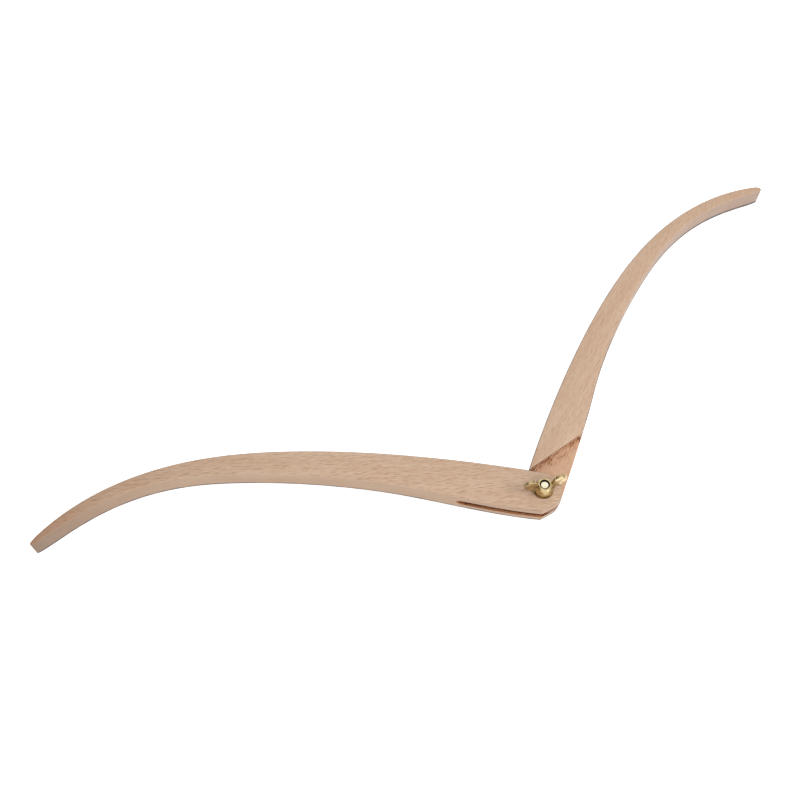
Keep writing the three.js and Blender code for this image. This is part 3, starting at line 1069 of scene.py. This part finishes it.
@dataclass(frozen=True)
class SawnBeech:
    """Beech left rough from the saw, redder near the shoulder, with torn dark pores and painted
    shade inside a slot or in the shoulder's corner.
    """

    name: str
    grain_turn: float
    saw_turn: float
    shoulder: tuple[float, float, float]
    plain: Colour = linear(218, 182, 153)
    red: Colour = linear(198, 148, 110)
    torn: Colour = linear(112, 62, 32)
    mouth: tuple[float, float, float] | None = None
    mouth_reach: float = 13.9

    TEARS = (
        Dashes((3.4, 1.25), (2.3, 0.3), math.radians(10), 3.1),
        Dashes((2.1, 0.9), (0.9, 0.22), math.radians(10), 17.9),
    )

    def build(self) -> bpy.types.Material:
        """Make the material.

        Returns:
            The finished material.
        """
        material, sketch, shader = new_material(self.name)
        place = sketch.add("ShaderNodeTexCoord").outputs["Object"]
        scale = (MILLIMETRES_PER_METRE,) * 3
        grain = sketch.stretched(place, scale, -self.grain_turn)
        sawn = sketch.stretched(place, scale, -self.saw_turn)

        near = sketch.dot(place, self.shoulder)
        depth = sketch.math("MULTIPLY_ADD", near, -MILLIMETRES_PER_METRE, JOINT.shoulder_reach)
        patches = sketch.noise(sketch.stretched(grain, (0.16, 0.22, 0.2)), 3.0, 0.6)
        patches = sketch.fade(patches, 0.4, 0.62)
        rough = sketch.fade(depth, 7.5, 0.5, 0.12, 0.77)
        rough = sketch.math("MULTIPLY", rough, sketch.math("MULTIPLY_ADD", patches, 0.8, 0.35))

        kerf = sketch.noise(sketch.stretched(sawn, (0.12, 2.2, 1.5)), 2.0, 0.6)
        torn = [layer.mask(sketch, grain) for layer in self.TEARS]
        tear_and_shade_marks = sketch.math("MAXIMUM", sketch.fade(kerf, 0.62, 0.8, 0.0, 0.6), torn[0])
        tear_and_shade_marks = sketch.math("MAXIMUM", tear_and_shade_marks, torn[1])
        tear_and_shade_marks = sketch.math("MULTIPLY", tear_and_shade_marks, sketch.math("MINIMUM", rough, 1.0))
        # Painted shade inside a slot, or else in the shoulder's corner
        if self.mouth:
            inside = self.dark_inside(sketch, place, sawn)
        else:
            inside = self.corners(sketch, depth, place, sawn)
        tear_and_shade_marks = sketch.math("MAXIMUM", tear_and_shade_marks, inside)
        fibres = sketch.noise(sketch.stretched(grain, (0.05, 1.8, 1.8)), 3.0, 0.6)
        colour = sketch.mix(sketch.math("MULTIPLY", rough, 1.1, clamp=True), self.plain, self.red)
        colour = sketch.mix(sketch.fade(fibres, 0.3, 0.7, 0.0, 0.6), colour, self.red)
        # The torn colour paints the torn pores and the painted shade alike
        colour = sketch.mix(sketch.math("MULTIPLY", tear_and_shade_marks, 1.3, clamp=True), colour, self.torn)
        sketch.link(colour, shader.inputs["Base Color"])
        shader.inputs["Roughness"].default_value = 0.8
        height = sketch.math("MULTIPLY_ADD", tear_and_shade_marks, -2.0, fibres)
        height = sketch.math("MULTIPLY_ADD", kerf, 0.8, height)
        sketch.link(sketch.bump(0.5, 0.00025, height), shader.inputs["Normal"])
        return material

    def dark_inside(
        self, sketch: Sketch, place: object, sawn: object
    ) -> bpy.types.NodeSocket:
        """Paint shade on a slot's walls away from its mouth, where little light gets.

        Args:
            sketch: The material's tree.
            place: The place on the leg, in metres.
            sawn: The coordinates in millimetres, along the saw's strokes.

        Returns:
            How dark they are, from 0 to 1.
        """
        inwards = sketch.dot(place, self.mouth)
        depth = sketch.math("MULTIPLY_ADD", inwards, MILLIMETRES_PER_METRE, self.mouth_reach)
        ragged = sketch.noise(sketch.stretched(sawn, (0.5, 0.5, 0.5)), 3.0, 0.7)
        depth = sketch.math("MULTIPLY_ADD", ragged, 2.6, depth)
        return sketch.fade(depth, 1.5, 2.7, 0.0, 0.9)

    @staticmethod
    def corners(
        sketch: Sketch, depth: object, place: object, sawn: object
    ) -> bpy.types.NodeSocket:
        """Paint shade into the corner below the shoulder, and draw a dark broken line under its top
        edge.

        Args:
            sketch: The material's tree.
            depth: The distance from the shoulder, in millimetres.
            place: The place on the leg, in metres.
            sawn: The coordinates in millimetres, with the shoulder along X.

        Returns:
            How dark they are, from 0 to 1.
        """
        height = sketch.axis(place, "Z")
        below = sketch.math("MULTIPLY_ADD", height, -MILLIMETRES_PER_METRE, JOINT.leg_top)
        wall = sketch.fade(depth, 0.25, 0.1)
        line = sketch.math("MULTIPLY", sketch.fade(below, 0.25, 0.45), sketch.fade(below, 1.1, 0.8))
        line = sketch.math("MULTIPLY", line, wall)
        # Painted shade in the corner at the foot of the shoulder's wall
        corner = sketch.fade(depth, 0.7, 0.25)
        foot = sketch.math("MAXIMUM", sketch.fade(wall, 1.0, 0.0), sketch.fade(below, 3.6, 4.0))
        corner = sketch.math("MULTIPLY", corner, foot)
        gaps = sketch.noise(sketch.stretched(sawn, (0.14, 0.1, 0.1)), 3.0, 0.7)
        corner = sketch.math("MULTIPLY", corner, sketch.fade(gaps, 0.4, 0.6, 0.1, 0.75))
        line = sketch.math("MULTIPLY", line, sketch.fade(gaps, 0.3, 0.5, 0.7, 1.0))
        return sketch.math("MAXIMUM", line, corner)


@dataclass(frozen=True)
class Brass:
    """Brass, bright where it is rubbed, duller elsewhere, with painted shade in a ring round the
    bolt's end.
    """

    name: str
    bright: Colour = linear(216, 196, 150)
    dull: Colour = linear(152, 127, 82)
    hollow_shade: Colour = linear(52, 38, 24)
    polish: float = 0.16
    dullness: float = 0.34
    # The painted shade's ring, inner and outer radius in millimetres, and the height in millimetres
    # below which it takes none
    shaded_ring: tuple[float, float] | None = None
    unshaded_below: float = 0.0

    def build(self) -> bpy.types.Material:
        """Make the material.

        Returns:
            The finished material.
        """
        material, sketch, shader = new_material(self.name)
        place = sketch.add("ShaderNodeTexCoord").outputs["Object"]
        clouds = sketch.noise(sketch.stretched(place, (260, 260, 260)), 3.0, 0.6)
        clouds = sketch.fade(clouds, 0.35, 0.7)
        scuffs = sketch.noise(sketch.stretched(place, (1500, 1500, 1500)), 2.0, 0.5)
        colour = sketch.mix(clouds, self.bright, self.dull)
        spread = self.dullness - self.polish
        rough = sketch.math("MULTIPLY_ADD", clouds, spread, self.polish)
        rough = sketch.math("MULTIPLY_ADD", scuffs, 0.05, rough)
        # Painted shade in the ring round the bolt's end, rougher too
        if self.shaded_ring:
            hollow_shade = self.hollow(sketch, place)
            colour = sketch.mix(hollow_shade, colour, self.hollow_shade)
            rough = sketch.math("MULTIPLY_ADD", hollow_shade, 0.5, rough, clamp=True)
        sketch.link(colour, shader.inputs["Base Color"])
        sketch.link(rough, shader.inputs["Roughness"])
        shader.inputs["Metallic"].default_value = 1.0
        sketch.link(sketch.bump(0.12, 0.00008, scuffs), shader.inputs["Normal"])
        return material

    def hollow(self, sketch: Sketch, place: object) -> bpy.types.NodeSocket:
        """Find the ring between the bolt's end and the nut's rim that takes painted shade.

        Args:
            sketch: The material's tree.
            place: The place on the piece, in metres.

        Returns:
            How grimy it is, from 0 to 1.
        """
        inner, outer = self.shaded_ring
        scale = (MILLIMETRES_PER_METRE, MILLIMETRES_PER_METRE, 0)
        flat = sketch.length(sketch.stretched(place, scale))
        ring = sketch.fade(flat, inner, inner + 0.15)
        ring = sketch.math("MULTIPLY", ring, sketch.fade(flat, outer, outer - 0.15))
        height = sketch.axis(place, "Z")
        above = sketch.math("MULTIPLY", height, MILLIMETRES_PER_METRE)
        return sketch.math(
            "MULTIPLY", ring, sketch.fade(above, self.unshaded_below, self.unshaded_below + 0.5)
        )


# The legs


def dress(piece: bpy.types.Object, materials: Iterable[bpy.types.Material]) -> None:
    """Give a piece its materials in order."""
    piece.data.materials.clear()
    for material in materials:
        piece.data.materials.append(material)


def paint_faces(
    piece: bpy.types.Object, slot: int, wanted: Callable[[Vector, Vector], bool]
) -> None:
    """Give some faces of a piece another of its materials.

    Args:
        piece: The piece, in metres.
        slot: The material's number.
        wanted: Says whether a face with this centre, in millimetres, and normal takes it.
    """
    for face in piece.data.polygons:
        if wanted(face.center * MILLIMETRES_PER_METRE, face.normal):
            face.material_index = slot


def rub_edges(leg: bpy.types.Object, width: float) -> None:
    """Round the sharp edges that cutting a leg's joint left.

    Args:
        leg: The leg, in millimetres.
        width: How much wood is rubbed off.
    """
    apply_modifier(
        leg,
        "BEVEL",
        width=width,
        segments=2,
        limit_method="ANGLE",
        angle_limit=math.radians(50),
        use_clamp_overlap=True,
    )


@dataclass
class ForkLeg:
    """The leg with the slot, which holds the square neck of the bolt."""

    node: str = "fork_leg"
    slot_name: str = "beech_fork"
    arris: float = 0.6
    worn_edge: float = 0.14
    slot_taper: float = 0.25
    slot_overlap: float = 0.2
    finish: Beech = field(
        default_factory=lambda: Beech(
            "fork_beech", 0.0, math.radians(-6.5), 0.013, tip_shade=(0.1, 0.305, 0.6)
        )
    )
    # The slot's walls: darker and redder than the planed faces, with painted shade deeper inside
    kerf: SawnBeech = field(
        default_factory=lambda: SawnBeech(
            "fork_slot_beech",
            0.0,
            math.radians(17.68),
            (*to_fork(off_shoulder(1)), 0),
            plain=linear(200, 142, 100),
            red=linear(178, 114, 68),
            torn=linear(128, 72, 38),
            mouth=(*off_shoulder(1), 0),
        )
    )

    @property
    def slot_reach(self) -> float:
        """How far the slot's bottom lies from the pivot axis."""
        return JOINT.shoulder_reach + JOINT.slot_extra_depth

    def build(self) -> bpy.types.Object:
        """Make the leg, dress it and let it ride.

        Returns:
            The piece.
        """
        knots = placed(TEMPLATE.outline(FORK_SHAPE), to_fork)
        leg = slab(self.node, knots, JOINT.leg_bottom, JOINT.leg_top, self.arris)
        floor = JOINT.middle - JOINT.slot_width / 2
        roof = JOINT.middle + JOINT.slot_width / 2
        reach = JOINT.shoulder_reach + self.slot_overlap
        slot = joint_side(reach, floor, roof, to_fork, JOINT.shoulder_slope)
        round_hole = turned(
            "hole", [(JOINT.hole_radius, JOINT.middle), (JOINT.hole_radius, JOINT.leg_top + 1)], 48
        )
        side, height = JOINT.square_hole, JOINT.leg_thickness
        square_hole = block((0, 0, roof - height / 2), (side, side, height))
        combine(leg, [slot, self.slot_end(floor, roof), round_hole, square_hole])
        clean(leg, 1e-3)
        rub_edges(leg, self.worn_edge)
        finish_piece(leg, "fork_leg_beech", 30)
        dress(leg, [self.finish.build(), self.kerf.build()])
        paint_faces(leg, 1, lambda centre, normal: self.inside_slot(centre, normal, floor, roof))
        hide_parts(self.node)
        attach(leg, Body.FORK.value)
        return leg

    def slot_end(self, floor: float, roof: float) -> bpy.types.Object:
        """Make the last of the slot, which the saw left shallower and shallower.

        Args:
            floor: The slot's lower height.
            roof: Its upper height.

        Returns:
            The cutter, tapered towards the slot's bottom.
        """
        depth = self.slot_reach - JOINT.shoulder_reach
        out = JOINT.shoulder_reach + depth / 2
        x, y = to_fork(off_shoulder(out))
        wedge = block((0, 0, 0), (2 * CUTTER_SPAN, depth, roof - floor))
        edit(wedge, "DESELECT")
        mesh = bmesh.from_edit_mesh(wedge.data)
        for corner in mesh.verts:
            corner.select = corner.co.y > 0
        mesh.select_flush(True)
        bmesh.update_edit_mesh(wedge.data)
        bpy.ops.transform.resize(value=(1, 1, self.slot_taper))
        leave_edit()
        wedge.location = (x, y, (floor + roof) / 2)
        wedge.rotation_euler = (0, 0, JOINT.shoulder_slope)
        settle(wedge)
        return wedge

    @staticmethod
    def inside_slot(centre: Vector, normal: Vector, floor: float, roof: float) -> bool:
        """Say whether a face is one of the slot's walls.

        Args:
            centre: The face's centre, in millimetres.
            normal: Its normal.
            floor: The slot's lower height.
            roof: Its upper height.

        Returns:
            Whether it is.
        """
        between = floor - 0.02 < centre.z < roof + 0.02
        across = Vector(to_fork(off_shoulder(1)))
        reach = centre.xy.dot(across)
        beyond = JOINT.shoulder_reach + 0.1 < reach < 18
        end = beyond and normal.xy.dot(across) < -0.9
        return between and (abs(normal.z) > 0.5 or end)


@dataclass
class TongueLeg:
    """The leg with the tongue, rebated on both sides up to a slanting shoulder."""

    node: str = "tongue_leg"
    slot_name: str = "beech_tongue"
    arris: float = 0.6
    worn_edge: float = 0.12
    finish: Beech = field(
        default_factory=lambda: Beech(
            "tongue_beech",
            TONGUE_TURN,
            math.radians(3),
            0.29,
            fleck_strength=0.38,
            tip_shade=(0.1, 0.305, 0.12),
            side_shade=0.22,
            shaded_belly_reach=110.0,
            dark_back=(15.0, 44.0),
            foot=2.6,
        )
    )
    # The tongue's edge between its sawn faces: a darker, greyer copy of the beech, painted shade
    # where the slot hides it, with painted shade higher up its sides and round the heel
    shaded_rim: Beech = field(
        default_factory=lambda: Beech(
            "tongue_rim_shaded_beech",
            TONGUE_TURN,
            math.radians(3),
            0.29,
            light=linear(194, 172, 156),
            dark=linear(178, 154, 136),
            edge_shade=linear(104, 104, 112),
            heel_shade=linear(150, 97, 62),
            foot=5.6,
        )
    )
    sawn: SawnBeech = field(
        default_factory=lambda: SawnBeech(
            "tongue_sawn_beech",
            TONGUE_TURN,
            TONGUE_TURN - JOINT.shoulder_slope,
            (*to_tongue(off_shoulder(1)), 0),
        )
    )

    def build(self) -> bpy.types.Object:
        """Make the leg, dress it and let it ride.

        Returns:
            The piece.
        """
        knots = placed(TEMPLATE.outline(TONGUE_SHAPE), to_tongue)
        leg = slab(self.node, knots, JOINT.leg_bottom, JOINT.leg_top, self.arris)
        fork = placed(TEMPLATE.outline(FORK_SHAPE), to_fork)
        half = JOINT.slot_width / 2 - JOINT.slot_clearance
        layers = [
            (JOINT.leg_bottom - 1, JOINT.middle - half),
            (JOINT.middle + half, JOINT.leg_top + 1),
        ]
        turn = TONGUE_TURN - JOINT.shoulder_slope
        for bottom, top in layers:
            rebate = joint_side(JOINT.shoulder_reach, bottom, top, to_tongue, turn)
            stop = slab("stop", fork, bottom, top, grow=JOINT.stop_gap, resolution=24)
            combine(leg, [rebate, stop])
        hole = turned(
            "hole",
            [(JOINT.hole_radius, JOINT.leg_bottom - 1), (JOINT.hole_radius, JOINT.leg_top + 1)],
            48,
        )
        combine(leg, [hole])
        clean(leg, 1e-3)
        rub_edges(leg, self.worn_edge)
        finish_piece(leg, "tongue_leg_beech", 30)
        dress(leg, [self.finish.build(), self.sawn.build(), self.shaded_rim.build()])
        # The tongue's edge takes the darker copy of the beech, painted shade
        paint_faces(leg, 2, lambda centre, normal: self.is_rim(centre, normal, half))
        paint_faces(leg, 1, lambda centre, normal: self.is_sawn(centre, normal, half))
        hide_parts(self.node)
        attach(leg, Body.TONGUE.value)
        return leg

    @staticmethod
    def is_rim(centre: Vector, normal: Vector, half: float) -> bool:
        """Say whether a face is on the tongue's edge, between its two sawn faces.

        Args:
            centre: The face's centre, in millimetres.
            normal: Its normal.
            half: Half the tongue's thickness.

        Returns:
            Whether it is.
        """
        across = Vector(to_tongue(off_shoulder(1)))
        near = centre.xy.dot(across) < JOINT.shoulder_reach - 0.3
        return near and abs(normal.z) < 0.98 and abs(centre.z - JOINT.middle) < half + 0.01

    @staticmethod
    def is_sawn(centre: Vector, normal: Vector, half: float) -> bool:
        """Say whether a face is one that the saw cut the tongue from.

        Args:
            centre: The face's centre, in millimetres.
            normal: Its normal.
            half: Half the tongue's thickness.

        Returns:
            Whether it is.
        """
        level = abs(abs(centre.z - JOINT.middle) - half) < 0.05 and abs(normal.z) > 0.9
        across = Vector(to_tongue(off_shoulder(1)))
        wall = normal.xy.dot(across) < -0.95
        reach = centre.xy.dot(across)
        return level or (wall and abs(reach - JOINT.shoulder_reach) < 0.2)


# The brass


@dataclass(frozen=True)
class Thread:
    """The M5 thread that the bolt and the nut share."""

    radius: float = 2.5
    pitch: float = 0.8
    bolt_depth_share: float = 0.6134
    nut_depth_share: float = 0.375
    nut_play: float = 0.12
    steps: int = 32

    def solid(self, bottom: float, top: float, depth: float, growth: float) -> bpy.types.Object:
        """Wind a threaded rod round the Z axis, cut square at both ends.

        Args:
            bottom: Its lower end.
            top: Its upper end.
            depth: How deep the thread is.
            growth: How much larger than the nominal thread it is all round.

        Returns:
            The closed mesh.
        """
        root = self.radius - depth
        crest = self.radius + growth
        flat = self.pitch / 16 + growth
        lean = (crest - root) * math.tan(math.radians(30))
        foot = min(flat + lean, self.pitch / 2 - 0.01)
        start = (math.floor(bottom / self.pitch) - 1) * self.pitch
        turns = math.ceil((top - start) / self.pitch) + 2
        profile = [
            (root, -self.pitch / 2),
            (root, -foot),
            (crest, -flat),
            (crest, flat),
            (root, foot),
            (root, self.pitch / 2),
        ]
        deselect()
        bpy.ops.mesh.primitive_plane_add(size=0.1, location=(0, 0, 0))
        rod = bpy.context.object
        edit(rod)
        bpy.ops.mesh.merge(type="CENTER")
        here = Vector((0, 0, 0))
        for radius, height in profile:
            there = Vector((radius, 0, start + height))
            if here.length:
                bpy.ops.mesh.extrude_vertices_move(
                    TRANSFORM_OT_translate={"value": there - here}
                )
            else:
                bpy.ops.transform.translate(value=there)
            here = there
        leave_edit()
        apply_modifier(
            rod,
            "SCREW",
            angle=2 * math.pi,
            screw_offset=self.pitch,
            iterations=turns,
            steps=self.steps,
            render_steps=self.steps,
            use_merge_vertices=True,
            merge_threshold=1e-4,
        )
        edit(rod)
        bpy.ops.mesh.bisect(
            plane_co=(0, 0, bottom), plane_no=(0, 0, 1), use_fill=True, clear_inner=True
        )
        bpy.ops.mesh.select_all(action="SELECT")
        bpy.ops.mesh.bisect(
            plane_co=(0, 0, top), plane_no=(0, 0, 1), use_fill=True, clear_outer=True
        )
        leave_edit()
        clean(rod, 1e-4)
        return rod


THREAD = Thread()


@dataclass
class CarriageBolt:
    """The bolt, with a domed head, a square neck and an M5 thread to its end."""

    node: str = "carriage_bolt"
    slot_name: str = "brass_bolt"
    length: float = 20.0
    head_radius: float = 6.75
    head_rim: float = 0.6
    head_flat: float = 2.5
    neck_across: float = 5.2
    neck_length: float = 3.9
    end_chamfer: float = 0.3
    # The bolt's brass is lightened to near white, a painted highlight for the bright reflection on
    # its end
    finish: Brass = field(
        default_factory=lambda: Brass(
            "bolt_brass",
            bright=linear(255, 250, 228),
            dull=linear(244, 230, 190),
            polish=0.24,
            # Painted shade on the thread and the chamfer round the end
            shaded_ring=(2.1, 3.2),
            unshaded_below=16.0,
        )
    )

    def build(self) -> bpy.types.Object:
        """Make the bolt, dress it and let it ride.

        Returns:
            The piece.
        """
        top = JOINT.head_height + self.length
        shank_bottom = JOINT.head_height + self.neck_length - 1
        depth = THREAD.bolt_depth_share * THREAD.pitch
        shank = THREAD.solid(shank_bottom, top, depth, 0)
        radius = THREAD.radius
        limit = turned(
            "limit",
            [
                (2 * radius, shank_bottom - 0.5),
                (2 * radius, top - self.end_chamfer - radius),
                (radius - self.end_chamfer, top - 1e-3),
            ],
            64,
        )
        combine(shank, [limit], "INTERSECT")
        neck_top = JOINT.head_height + self.neck_length
        neck_low = JOINT.head_height - 0.5
        across = self.neck_across
        neck = block(
            (0, 0, (neck_top + neck_low) / 2), (across, across, neck_top - neck_low)
        )
        apply_modifier(neck, "BEVEL", width=0.3, segments=3, affect="EDGES")
        head = turned("head", self.dome(), 96)
        combine(head, [neck, shank], "UNION")
        clean(head, 1e-4)
        finish_piece(head, "carriage_bolt_brass", 28)
        dress(head, [self.finish.build()])
        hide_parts(self.node)
        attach(head, Body.FORK.value)
        return head

    def dome(self) -> list[Point]:
        """Give the rings of the domed head, from its flat spot to its rim.

        Returns:
            Radius and height of each ring.
        """
        rise = JOINT.head_height - self.head_rim
        rings = []
        for step in range(13):
            angle = step / 12 * math.pi / 2
            radius = self.head_flat + (self.head_radius - self.head_flat) * math.sin(angle)
            rings.append((radius, rise * (1 - math.cos(angle))))
        return [*rings, (self.head_radius, JOINT.head_height)]


@dataclass
class Washer:
    """The washer between the upper cheek and the nut."""

    node: str = "washer"
    slot_name: str = "brass_washer"
    radius: float = 6.0
    thickness: float = 1.25
    edge: float = 0.28
    # The washer's brass is painted dark, for the shade and dark reflections under the nut
    finish: Brass = field(
        default_factory=lambda: Brass(
            "washer_brass", bright=linear(150, 120, 70), dull=linear(66, 48, 28), polish=0.14
        )
    )

    def build(self) -> bpy.types.Object:
        """Make the washer, dress it and let it ride.

        Returns:
            The piece.
        """
        bottom = JOINT.washer_seat
        top = bottom + self.thickness
        disc = turned("disc", [(self.radius, bottom), (self.radius, top)], 96)
        hole = turned("hole", [(JOINT.hole_radius, bottom - 1), (JOINT.hole_radius, top + 1)], 64)
        combine(disc, [hole])
        apply_modifier(
            disc,
            "BEVEL",
            width=self.edge,
            segments=4,
            limit_method="ANGLE",
            angle_limit=math.radians(40),
        )
        finish_piece(disc, "washer_brass_disc", 40)
        dress(disc, [self.finish.build()])
        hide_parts(self.node)
        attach(disc, Body.WASHER.value)
        return disc


@dataclass
class WingNut:
    """The cast wing nut: a tapered boss with two round wings that flow out of it."""

    node: str = "wing_nut"
    slot_name: str = "brass_nut"
    height: float = 6.5
    base_radius: float = 5.5
    top_radius: float = 3.9
    foot: float = 1.2
    countersink: float = 3.0
    span: float = 26.0
    wing_top: float = 13.0
    wing_thickness: float = 1.9
    lobe_radius: float = 3.9
    root: Point = (6.6, 0.4)
    neck: Point = (4.2, 5.0)
    turn: float = math.radians(6.6)
    voxel: float = 0.1
    wing_edge: float = 0.22
    root_thickness: float = 2.7
    # Painted shade in the countersink, round the bolt's end
    finish: Brass = field(
        default_factory=lambda: Brass("nut_brass", shaded_ring=(1.0, 3.1), unshaded_below=16.0)
    )

    @property
    def seat(self) -> float:
        """Height of the nut's underside."""
        return JOINT.washer_seat + Washer.thickness + JOINT.seat_gap

    def build(self) -> bpy.types.Object:
        """Make the nut, dress it and let it ride.

        Returns:
            The piece.
        """
        nut = turned(
            "boss",
            [
                (self.base_radius, 0),
                (self.base_radius, self.foot),
                (self.top_radius, self.height),
            ],
            64,
        )
        for turn in (self.turn, self.turn + math.pi):
            join(nut, [self.wing(turn), self.root_of_wing(turn)])
        self.soften(nut)
        nut.location.z = self.seat
        settle(nut)
        top = self.seat + self.height
        sink = turned("sink", [(0.01, top - self.countersink), (self.countersink, top)], 64)
        rings = [(self.countersink, top - 0.001), (self.countersink, top + 2)]
        collar = turned("collar", rings, 64)
        depth = THREAD.nut_depth_share * THREAD.pitch
        bore = THREAD.solid(self.seat - 1, top + 1, depth, THREAD.nut_play)
        base = block((0, 0, self.seat - 2), (30, 30, 4))
        combine(nut, [base, sink, collar, bore])
        clean(nut, 1e-4)
        finish_piece(nut, "wing_nut_brass", 32)
        dress(nut, [self.finish.build()])
        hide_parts(self.node)
        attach(nut, Body.NUT.value)
        return nut

    def wing(self, turn: float) -> bpy.types.Object:
        """Make one wing, standing on the boss and turned about Z.

        Args:
            turn: How far it is turned, in radians.

        Returns:
            The closed mesh.
        """
        lobe = Vector((self.span / 2 - self.lobe_radius, self.wing_top - self.lobe_radius))

        def tangent(point: Point, side: int) -> float:
            """Find where a line from a point touches the lobe."""
            reach = Vector(point) - lobe
            angle = math.atan2(reach.y, reach.x)
            return angle + side * math.acos(self.lobe_radius / reach.length)

        start = tangent(self.root, 1)
        end = tangent(self.neck, -1)
        while end < start:
            end += 2 * math.pi
        knots = [
            Knot((2.9, self.neck[1])),
            Knot((2.9, self.root[1])),
            Knot(self.root),
            *arc((lobe.x, lobe.y), self.lobe_radius, start, end, 4),
            Knot(self.neck),
        ]
        return self.upright("wing", knots, self.wing_thickness, turn)

    def root_of_wing(self, turn: float) -> bpy.types.Object:
        """Make the thicker metal where a wing leaves the boss.

        Args:
            turn: How far the wing is turned, in radians.

        Returns:
            The closed mesh.
        """
        low, high = self.root[1], self.neck[1] - 0.3
        corners = [(2.0, high), (2.0, low), (self.root[0] - 0.2, low), (7.4, 3.4), (4.8, high)]
        return self.upright("root", [Knot(corner) for corner in corners], self.root_thickness, turn)

    def upright(
        self, name: str, knots: list[Knot], thickness: float, turn: float
    ) -> bpy.types.Object:
        """Cut a flat shape and stand it on the boss.

        Args:
            name: The object's name.
            knots: Its outline, outwards and upwards from the nut's foot.
            thickness: Its thickness.
            turn: How far it is turned about Z, in radians.

        Returns:
            The closed mesh.
        """
        half = thickness / 2
        plate = slab(name, knots, -half, half, self.wing_edge, resolution=16)
        plate.rotation_euler = (math.pi / 2, 0, turn)
        settle(plate)
        return plate

    def soften(self, nut: bpy.types.Object) -> None:
        """Melt the wings into the boss, as a casting has them.

        Args:
            nut: The joined boss and wings, in millimetres.
        """
        pick(nut)
        nut.data.remesh_voxel_size = self.voxel
        bpy.ops.object.voxel_remesh()
        apply_modifier(nut, "SMOOTH", factor=0.5, iterations=4)


# The studio


@dataclass(frozen=True)
class Studio:
    """The pale floor, the soft light and the camera at the photographed angle.

    Places and the lamp's side are in metres, the sensor in millimetres, the power in watts.
    """

    camera_place: tuple[float, float, float] = (-0.1134, -0.2380, 0.5317)
    camera_turn: float = math.radians(-6.57)
    camera_elevation: float = math.radians(58.81)
    focal_share: float = 956 / 800
    sensor: float = 36.0
    horizon: float = 0.14
    front: float = 1.0
    zenith: float = 1.0
    left_shade: float = 0.5
    key_place: tuple[float, float, float] = (0.8, -0.44, 1.0)
    key_aim: tuple[float, float, float] = (-0.03, 0.05, 0.0)
    key_size: float = 0.5
    key_power: float = 5.0
    floor_glow: float = 0.8

    def build(self) -> None:
        """Make the whole studio."""
        self.camera()
        self.floor()
        self.world()
        self.lamp()
        bpy.context.scene.view_settings.view_transform = "Standard"

    def camera(self) -> None:
        """Place the camera."""
        data = bpy.data.cameras.new("camera")
        camera = bpy.data.objects.new("camera", data)
        bpy.context.scene.collection.objects.link(camera)
        camera.location = self.camera_place
        tilt = math.pi / 2 - self.camera_elevation
        camera.rotation_euler = (tilt, 0, self.camera_turn)
        data.sensor_fit = "HORIZONTAL"
        data.sensor_width = self.sensor
        data.lens = self.sensor * self.focal_share
        data.clip_start = 0.01
        data.clip_end = 20
        bpy.context.scene.camera = camera

    def floor(self) -> None:
        """Lay the floor, white to the camera apart from the object's shadow."""
        deselect()
        bpy.ops.mesh.primitive_plane_add(size=8, location=(0, 0, -0.0002))
        floor = bpy.context.object
        floor.name = "floor"
        material, sketch, shader = new_material("floor_paper")
        shader.inputs["Base Color"].default_value = (0.8, 0.8, 0.8, 1)
        shader.inputs["Roughness"].default_value = 1.0
        shader.inputs["Specular IOR Level"].default_value = 0.0
        path = sketch.add("ShaderNodeLightPath")
        seen = sketch.math(
            "MAXIMUM", path.outputs["Is Camera Ray"], path.outputs["Is Glossy Ray"]
        )
        seen = sketch.math("MAXIMUM", seen, path.outputs["Is Transmission Ray"])
        shader.inputs["Emission Color"].default_value = (1, 1, 1, 1)
        glow = sketch.math("MULTIPLY", seen, self.floor_glow)
        sketch.link(glow, shader.inputs["Emission Strength"])
        dress(floor, [material])

    def world(self) -> None:
        """Light the scene softly from above, less from the left, and show white behind it."""
        world = bpy.data.worlds.new("soft_world")
        bpy.context.scene.world = world
        world.use_nodes = True
        sketch = Sketch(world.node_tree)
        background = world.node_tree.nodes["Background"]
        direction = sketch.add("ShaderNodeTexCoord").outputs["Generated"]
        direction = sketch.add("ShaderNodeSeparateXYZ", {0: direction})
        low = sketch.fade(direction.outputs["Y"], -0.3, -0.85, self.horizon, self.front)
        rise = sketch.fade(direction.outputs["Z"], 0.15, 0.75)
        glow = sketch.math("MULTIPLY_ADD", rise, sketch.math("SUBTRACT", self.zenith, low), low)
        side = sketch.fade(direction.outputs["X"], -0.75, -0.25, self.left_shade, 1.0)
        glow = sketch.math("MULTIPLY", glow, side)
        seen = sketch.add("ShaderNodeLightPath").outputs["Is Camera Ray"]
        strength = sketch.math("MAXIMUM", glow, seen)
        sketch.link(strength, background.inputs["Strength"])
        background.inputs["Color"].default_value = (1, 1, 1, 1)

    def lamp(self) -> None:
        """Hang the big soft lamp in front, to the right."""
        data = bpy.data.lights.new("key", "AREA")
        data.shape = "SQUARE"
        data.size = self.key_size
        data.energy = self.key_power
        lamp = bpy.data.objects.new("key", data)
        bpy.context.scene.collection.objects.link(lamp)
        lamp.location = self.key_place
        direction = Vector(self.key_aim) - Vector(self.key_place)
        lamp.rotation_euler = direction.to_track_quat("-Z", "Y").to_euler()


def main() -> None:
    """Build and dress every piece, then the studio."""
    logging.basicConfig(level=logging.INFO, format="%(name)s: %(message)s")
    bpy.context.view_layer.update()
    for maker in (ForkLeg(), TongueLeg(), CarriageBolt(), Washer(), WingNut()):
        piece = maker.build()
        log.info("%s: %d faces", piece.name, len(piece.data.polygons))
    Studio().build()


if __name__ == "__main__":
    main()
